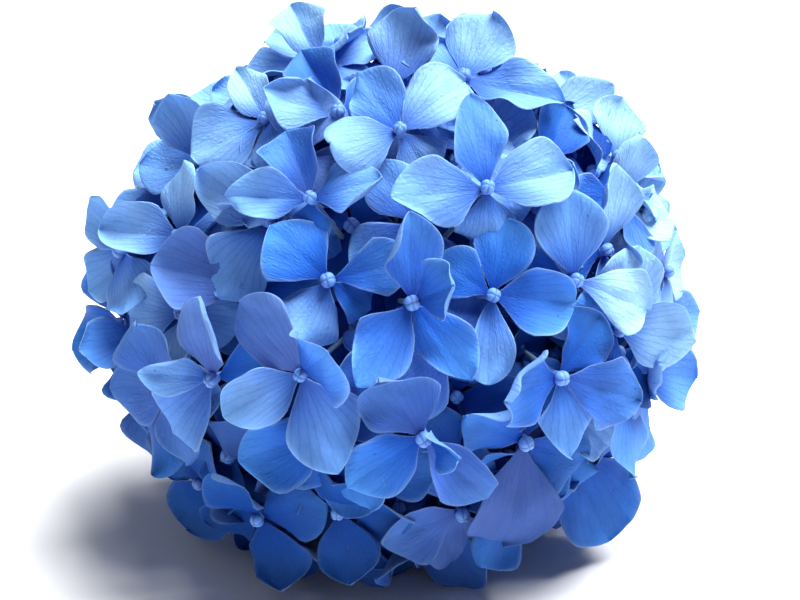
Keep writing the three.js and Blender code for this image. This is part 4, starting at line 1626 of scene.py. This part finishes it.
def run_tree(name: str, mesh: bpy.types.Mesh, tree: Tree, inputs: dict) -> bpy.types.Object:
    """Runs a geometry tree on a mesh and keeps the result as a plain mesh.

    Args:
        name: the piece's name.
        mesh: what the tree starts from.
        tree: the geometry tree.
        inputs: input name to value.

    Returns:
        The object, in the scene's collection, at the origin.
    """
    source = bpy.data.objects.new(name + "_source", mesh)
    bpy.context.scene.collection.objects.link(source)
    modifier = source.modifiers.new("Nodes", "NODES")
    modifier.node_group = tree
    for item in tree.interface.items_tree:
        if item.item_type == "SOCKET" and item.in_out == "INPUT" and item.name in inputs:
            modifier[item.identifier] = inputs[item.name]
    graph = bpy.context.evaluated_depsgraph_get()
    made = bpy.data.meshes.new_from_object(source.evaluated_get(graph), depsgraph=graph)
    bpy.data.objects.remove(source)
    made.name = name
    piece = bpy.data.objects.new(name, made)
    bpy.context.scene.collection.objects.link(piece)
    return piece


@dataclass
class FloretSprays:
    """The sprays: their florets' sepals, buds and stalks, and the knuckles that hold the stalks."""

    head: Head
    seed: int = 7
    common_forms: str = "FFFSSSDDRTNOBUXXYYP"  # the letters that a common floret's forms are drawn from
    turned_away: float = -0.4  # the cosine to the head's axis below which a sepal's tip bends up
    pair_gap: float = 0.45  # the second pair of sepals sits this much above the first
    tint_change: float = 0.12
    top_painted_light: float = 0.9  # painted light: how much the tint rises from the middle to the top, where the light falls
    rim_painted_light: float = 0.4  # painted light: how much more it rises at the rim of the upper half
    right_painted_light: float = 0.8  # painted light: how much it rises at the right rim, on the side of the light
    # painted shade: lowers the tint of every common floret
    shade_drop: float = 0.2
    mauves: tuple[float, float] = (-0.5, 0.3)  # below 0 is none
    bud_sizes: tuple[float, float] = (0.88, 1.08)
    stalk_radius: float = 0.75
    stalk_flare: float = 1.5
    stalk_sides: int = 10
    stalk_steps: int = 14
    knuckle: tuple[tuple[float, float], ...] = (
        (-1, 1.6), (-0.5, 1.9), (0, 2.4), (0.5, 2.7), (0.9, 2.3), (1, 1.2),
    )  # shares of its half length and radii

    def __post_init__(self) -> None:
        """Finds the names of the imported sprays."""
        self.names = sorted(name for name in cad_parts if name.startswith("spray_"))

    def florets(self) -> list[Floret]:
        """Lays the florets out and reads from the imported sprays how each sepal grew.

        Returns:
            The florets, with their spray's number and sepals set.
        """
        packed = PackedSprays(self.names)
        aims = self.head.spray_aims()
        florets = self.head.place_florets()
        for number, floret in enumerate(florets):
            floret.number = number
            self.head.set_out(floret)
        alone = missing = 0
        for floret in florets:
            sunk = floret.kind is Kind.SUNK
            spray = None if sunk else packed.spray_of(floret, self.head)
            if spray is None:
                alone += not sunk
                at = floret.way * self.head.axes
                floret.spray = int(np.argmin([np.linalg.norm(at - aim) for aim in aims]))
                continue
            floret.spray = spray
            for sepal in floret.sepals:
                missing += not self.head.grow(sepal, packed.trees[spray], floret.kind)
            floret.step_back(self.head.set_back.get(floret.number, 0))
        log.info("%d florets; not packed: %d of them and %d sepals", len(florets), alone, missing)
        return florets

    def build(self) -> None:
        """Builds and dresses every spray."""
        florets = self.florets()
        aims = self.head.spray_aims()
        sepal_skin = SepalFinish().build()
        bud_skin = BudFinish().build()
        tubes = TubeTree("Stalks", StalkFinish().build())
        buds = Buds()
        bud_tree = buds.tree(buds.pattern(), bud_skin)
        for number, node in enumerate(self.names):
            mine = [floret for floret in florets if floret.spray == number]
            tag = f"{number + 1:02d}"
            sheets = SepalSheets()
            for floret in mine:
                self.add_sepals(sheets, floret)
            sepals = sheets.build(f"sepals_{tag}", sepal_skin)
            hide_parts(node)
            hand_over(sepals)
            hand_over(self.buds(f"buds_{tag}", mine, bud_tree))
            hand_over(self.stalks(f"stalks_{tag}", mine, aims[number], tubes))

    def add_sepals(self, sheets: SepalSheets, floret: Floret) -> None:
        """Adds a floret's sepals to its spray's sheets."""
        chance = np.random.default_rng([self.seed, floret.number])
        if floret.kind is Kind.COMMON:
            self.draw_looks(floret, chance)
        for place, (sepal, plan) in enumerate(zip(floret.sepals, floret.plans)):
            sheets.add(sepal, plan, floret.kind, self.pair_gap * (place % 2), chance)

    def draw_looks(self, floret: Floret, chance: np.random.Generator) -> None:
        """Draws the forms and colours of a common floret's sepals, for its place on the head.

        Its tint is painted light and shade: paler at the top and at the rims, where the light falls, and
        deeper in the middle and below, with a little random tone.

        Args:
            floret: the floret, whose plans are changed.
            chance: the floret's own draw.
        """
        letters = chance.choice(list(self.common_forms), 4)
        across, _, height = (floret.hub - self.head.centre) / self.head.axes[0]
        # painted light and shade: the tint rises towards the top and the rims, where the light falls,
        # and sinks below
        rim_light = self.rim_painted_light * across**2 * (height > 0) + self.right_painted_light * max(across, 0) ** 4
        change = chance.uniform(-self.tint_change, self.tint_change)
        tint_light_shade = self.top_painted_light * height + rim_light - self.shade_drop + change
        mauve = max(0, chance.uniform(*self.mauves))
        front = self.head.turn[:, 2]
        for plan, sepal, letter in zip(floret.plans, floret.sepals, letters):
            plan.form = Form.RISING if front @ sepal.ahead < self.turned_away else Form(letter)
            plan.tint_light_shade, plan.mauve = tint_light_shade, mauve

    def buds(self, name: str, florets: list[Floret], tree: Tree) -> bpy.types.Object:
        """Makes the buds of one spray."""
        mesh = bpy.data.meshes.new(name)
        mesh.from_pydata([tuple(floret.hub * MM) for floret in florets], [], [])
        outs = np.concatenate([floret.out for floret in florets])
        mesh.attributes.new("out", "FLOAT_VECTOR", "POINT").data.foreach_set("vector", outs)
        smallest, largest = self.bud_sizes
        return run_tree(name, mesh, tree, {"Smallest": smallest, "Largest": largest, "Seed": self.seed})

    def stalks(
        self, name: str, florets: list[Floret], aim: np.ndarray, tubes: TubeTree
    ) -> bpy.types.Object:
        """Makes the stalks of one spray, and the knuckle that they leave."""
        fork = self.head.to_row(aim * self.head.ray_reach)
        along = unit(fork - self.head.stem_root)
        lines = []
        for floret in florets:
            path = [fork + (floret.hub - fork) * share for share in (0, 0.25, 0.5, 0.75, 0.93, 1)]
            thin = self.stalk_radius
            lines.append((path, [thin, thin, thin, thin, 1.2 * thin, self.stalk_flare]))
        knuckle = [fork + along * share * self.head.knuckle_half for share, _ in self.knuckle]
        lines.append((knuckle, [radius for _, radius in self.knuckle]))
        return tubes.run(name, lines, self.stalk_sides, self.stalk_steps)


# The stem


@dataclass
class Stem:
    """The cut stem with its swelling, and the rays that it forks into inside the head."""

    head: Head
    reach: float = 121  # how far behind its top it is cut
    drift: float = 9  # how far to one side it is cut
    radius: float = 3.4
    node_radius: float = 5.2  # of the swelling where a pair of leaves was taken off
    node_at: float = 0.62  # share of the length
    node_span: float = 0.0625  # share of the length
    ridges: int = 6
    ridge_height: float = 0.035  # share of the radius
    end_slope: float = 7  # at the cut, below the horizontal
    bend: float = 44  # length of the curve's handles
    slant: float = 0.8  # how far the cut leans, as a share of the radius
    sink: float = 0.75  # how much lower the cut end is than its radius
    lowest: float = 0.02
    stations: int = 90
    sides: int = 40
    ray_radius: float = 1.9
    ray_tip_radius: float = 1.6
    ray_sides: int = 12
    ray_steps: int = 16

    def path(self) -> np.ndarray:
        """Returns points evenly spaced along the stem's curve."""
        back = self.head.turn @ np.array([0, 0, -1.0])
        slope = math.radians(self.end_slope)
        lie = np.array([0, math.cos(slope), -math.sin(slope)])
        root = self.head.stem_root
        end = np.array([self.drift + self.head.shift[0], root[1] + self.reach, self.radius - self.sink])
        hands = [root, root + back * self.bend, end - lie * self.bend, end]
        share = np.linspace(0, 1, 400)[:, None]
        curve = sum(
            math.comb(3, i) * share**i * (1 - share) ** (3 - i) * hand for i, hand in enumerate(hands)
        )
        run = np.concatenate([[0], np.cumsum(np.linalg.norm(np.diff(curve, axis=0), axis=1))])
        even = np.linspace(0, run[-1], self.stations + 1)
        return np.stack([np.interp(even, run, curve[:, k]) for k in range(3)], axis=1)

    def build(self) -> None:
        """Builds and dresses the stem and its rays."""
        skin = StemFinish().build()
        path = self.path()
        share = np.linspace(0, 1, len(path))
        radius = self.radius + (self.node_radius - self.radius) * np.exp(
            -(((share - self.node_at) / self.node_span) ** 2)
        )
        points = []
        turns = 2 * math.pi * np.arange(self.sides) / self.sides
        for i, middle in enumerate(path):
            along = unit(path[min(i + 1, len(path) - 1)] - path[max(i - 1, 0)])
            side = unit(np.array([1.0, 0, 0]) - along[0] * along)
            up = np.cross(side, along)
            ridge = radius[i] * (1 + self.ridge_height * np.cos(self.ridges * turns))
            ring = middle + np.outer(ridge * np.cos(turns), side) + np.outer(ridge * np.sin(turns), up)
            if i == len(path) - 1:
                ring = ring + np.outer(self.slant * ridge * np.sin(turns), along)
            ring[:, 2] = np.maximum(ring[:, 2], self.lowest)
            points.append(ring)
        end = len(path) - 1
        for shrink in (0.86, 0.4):
            centre = points[end].mean(axis=0)
            points.append(centre + (points[end] - centre) * shrink)
        rings = len(points)
        cuts = np.repeat([0.0] * (end + 1) + [1.0] * (rings - end - 1), self.sides)
        faces = []
        for i in range(rings - 1):
            for k in range(self.sides):
                n = (k + 1) % self.sides
                a, b = i * self.sides, (i + 1) * self.sides
                faces.append([a + k, b + k, b + n, a + n])
        faces.append(list(range(self.sides)))
        faces.append([(rings - 1) * self.sides + k for k in reversed(range(self.sides))])
        stem = mesh_object("stem", np.concatenate(points), faces)
        stem.data.attributes.new("cut", "FLOAT", "POINT").data.foreach_set("value", cuts)
        stem.data.materials.append(skin)
        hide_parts("stem_and_rays")
        hand_over(stem)
        rays = TubeTree("Rays", skin).run("rays", self.rays(), self.ray_sides, self.ray_steps)
        hand_over(rays)

    def rays(self) -> list:
        """Returns the line and the radii of each ray, from the stem's top to its spray's knuckle."""
        root = self.head.stem_root
        lines = []
        for aim in self.head.spray_aims():
            fork = self.head.to_row(aim * self.head.ray_reach)
            tip = fork - unit(fork - root) * self.head.knuckle_half
            path = [root + (tip - root) * share for share in (0, 0.33, 0.66, 1)]
            middle = (self.ray_radius + self.ray_tip_radius) / 2
            lines.append((path, [self.ray_radius, middle, middle, self.ray_tip_radius]))
        return lines


# The studio


@dataclass(frozen=True)
class SoftLight:
    """A square soft light, in millimetres and watts.

    Its way from the head is given as shares to the right, up the head's face and out.
    """

    name: str
    way: tuple[float, float, float]
    distance: float
    side: float
    watts: float


@dataclass
class Studio:
    """A pale floor, soft light from the upper right, and the camera that looks along the head's axis."""

    head: Head
    photo_size: tuple[int, int] = (800, 600)
    head_middle: tuple[float, float] = (392, 299)  # the head's centre in the photograph, in pixels
    focal: float = 1865  # pixels
    distance: float = 560  # millimetres from the head's centre to the camera
    sensor: float = 36  # millimetres wide
    floor_side: float = 6000
    floor_colour: str = "#fafafa"
    sky_colour: str = "#e8efff"
    sky_strength: float = 0.13
    lights: tuple[SoftLight, ...] = (
        SoftLight("key", (0.4, 1.1, 0.38), 2400, 1600, 180),
        SoftLight("fill", (-0.5, 0.5, 0.8), 1500, 1200, 1),
    )

    def build(self) -> None:
        """Builds the camera, the floor and the lights."""
        scene = bpy.context.scene
        scene.view_settings.view_transform = "Standard"
        right, up, axis = (self.head.turn[:, i] for i in range(3))
        lens = bpy.data.cameras.new("camera")
        lens.sensor_width = self.sensor
        lens.lens = self.sensor * self.focal / self.photo_size[0]
        lens.clip_start, lens.clip_end = 0.01, 100
        lens.shift_x = (self.photo_size[0] / 2 - self.head_middle[0]) / self.photo_size[0]
        lens.shift_y = (self.head_middle[1] - self.photo_size[1] / 2) / self.photo_size[0]
        camera = bpy.data.objects.new("camera", lens)
        place = Matrix([Vector(v) for v in (right, up, axis)]).transposed().to_4x4()
        place.translation = Vector((self.head.centre + self.distance * axis) * MM)
        camera.matrix_world = place
        scene.collection.objects.link(camera)
        scene.camera = camera
        self.floor()
        for light in self.lights:
            self.hang(light)
        world = bpy.data.worlds.new("studio")
        world.use_nodes = True
        sky = world.node_tree.nodes["Background"]
        sky.inputs["Color"].default_value = linear(self.sky_colour)
        sky.inputs["Strength"].default_value = self.sky_strength
        scene.world = world

    def floor(self) -> None:
        """Lays the floor under the bloom."""
        half = self.floor_side / 2
        corners = np.array([[-half, -half, 0], [half, -half, 0], [half, half, 0], [-half, half, 0]])
        floor = mesh_object("floor", corners, [[0, 1, 2, 3]], smooth=False)
        material, tree = new_material("floor")
        skin = add_node(
            tree,
            "ShaderNodeBsdfPrincipled",
            {"Base Color": linear(self.floor_colour), "Roughness": 0.9},
        )
        add_node(tree, "ShaderNodeOutputMaterial", links={"Surface": skin.outputs[0]})
        floor.data.materials.append(material)

    def hang(self, light: SoftLight) -> None:
        """Hangs a light so that it points at the head."""
        lamp = bpy.data.lights.new(light.name, "AREA")
        lamp.size = light.side * MM
        lamp.energy = light.watts
        made = bpy.data.objects.new(light.name, lamp)
        way = unit(self.head.turn @ np.array(light.way))
        made.location = Vector((self.head.centre + way * light.distance) * MM)
        made.rotation_euler = (-Vector(way)).to_track_quat("-Z", "Y").to_euler()
        bpy.context.scene.collection.objects.link(made)


def main() -> None:
    """Builds the studio and the bloom."""
    head = Head()
    Studio(head).build()
    Stem(head).build()
    FloretSprays(head).build()


if __name__ == "__main__":
    main()
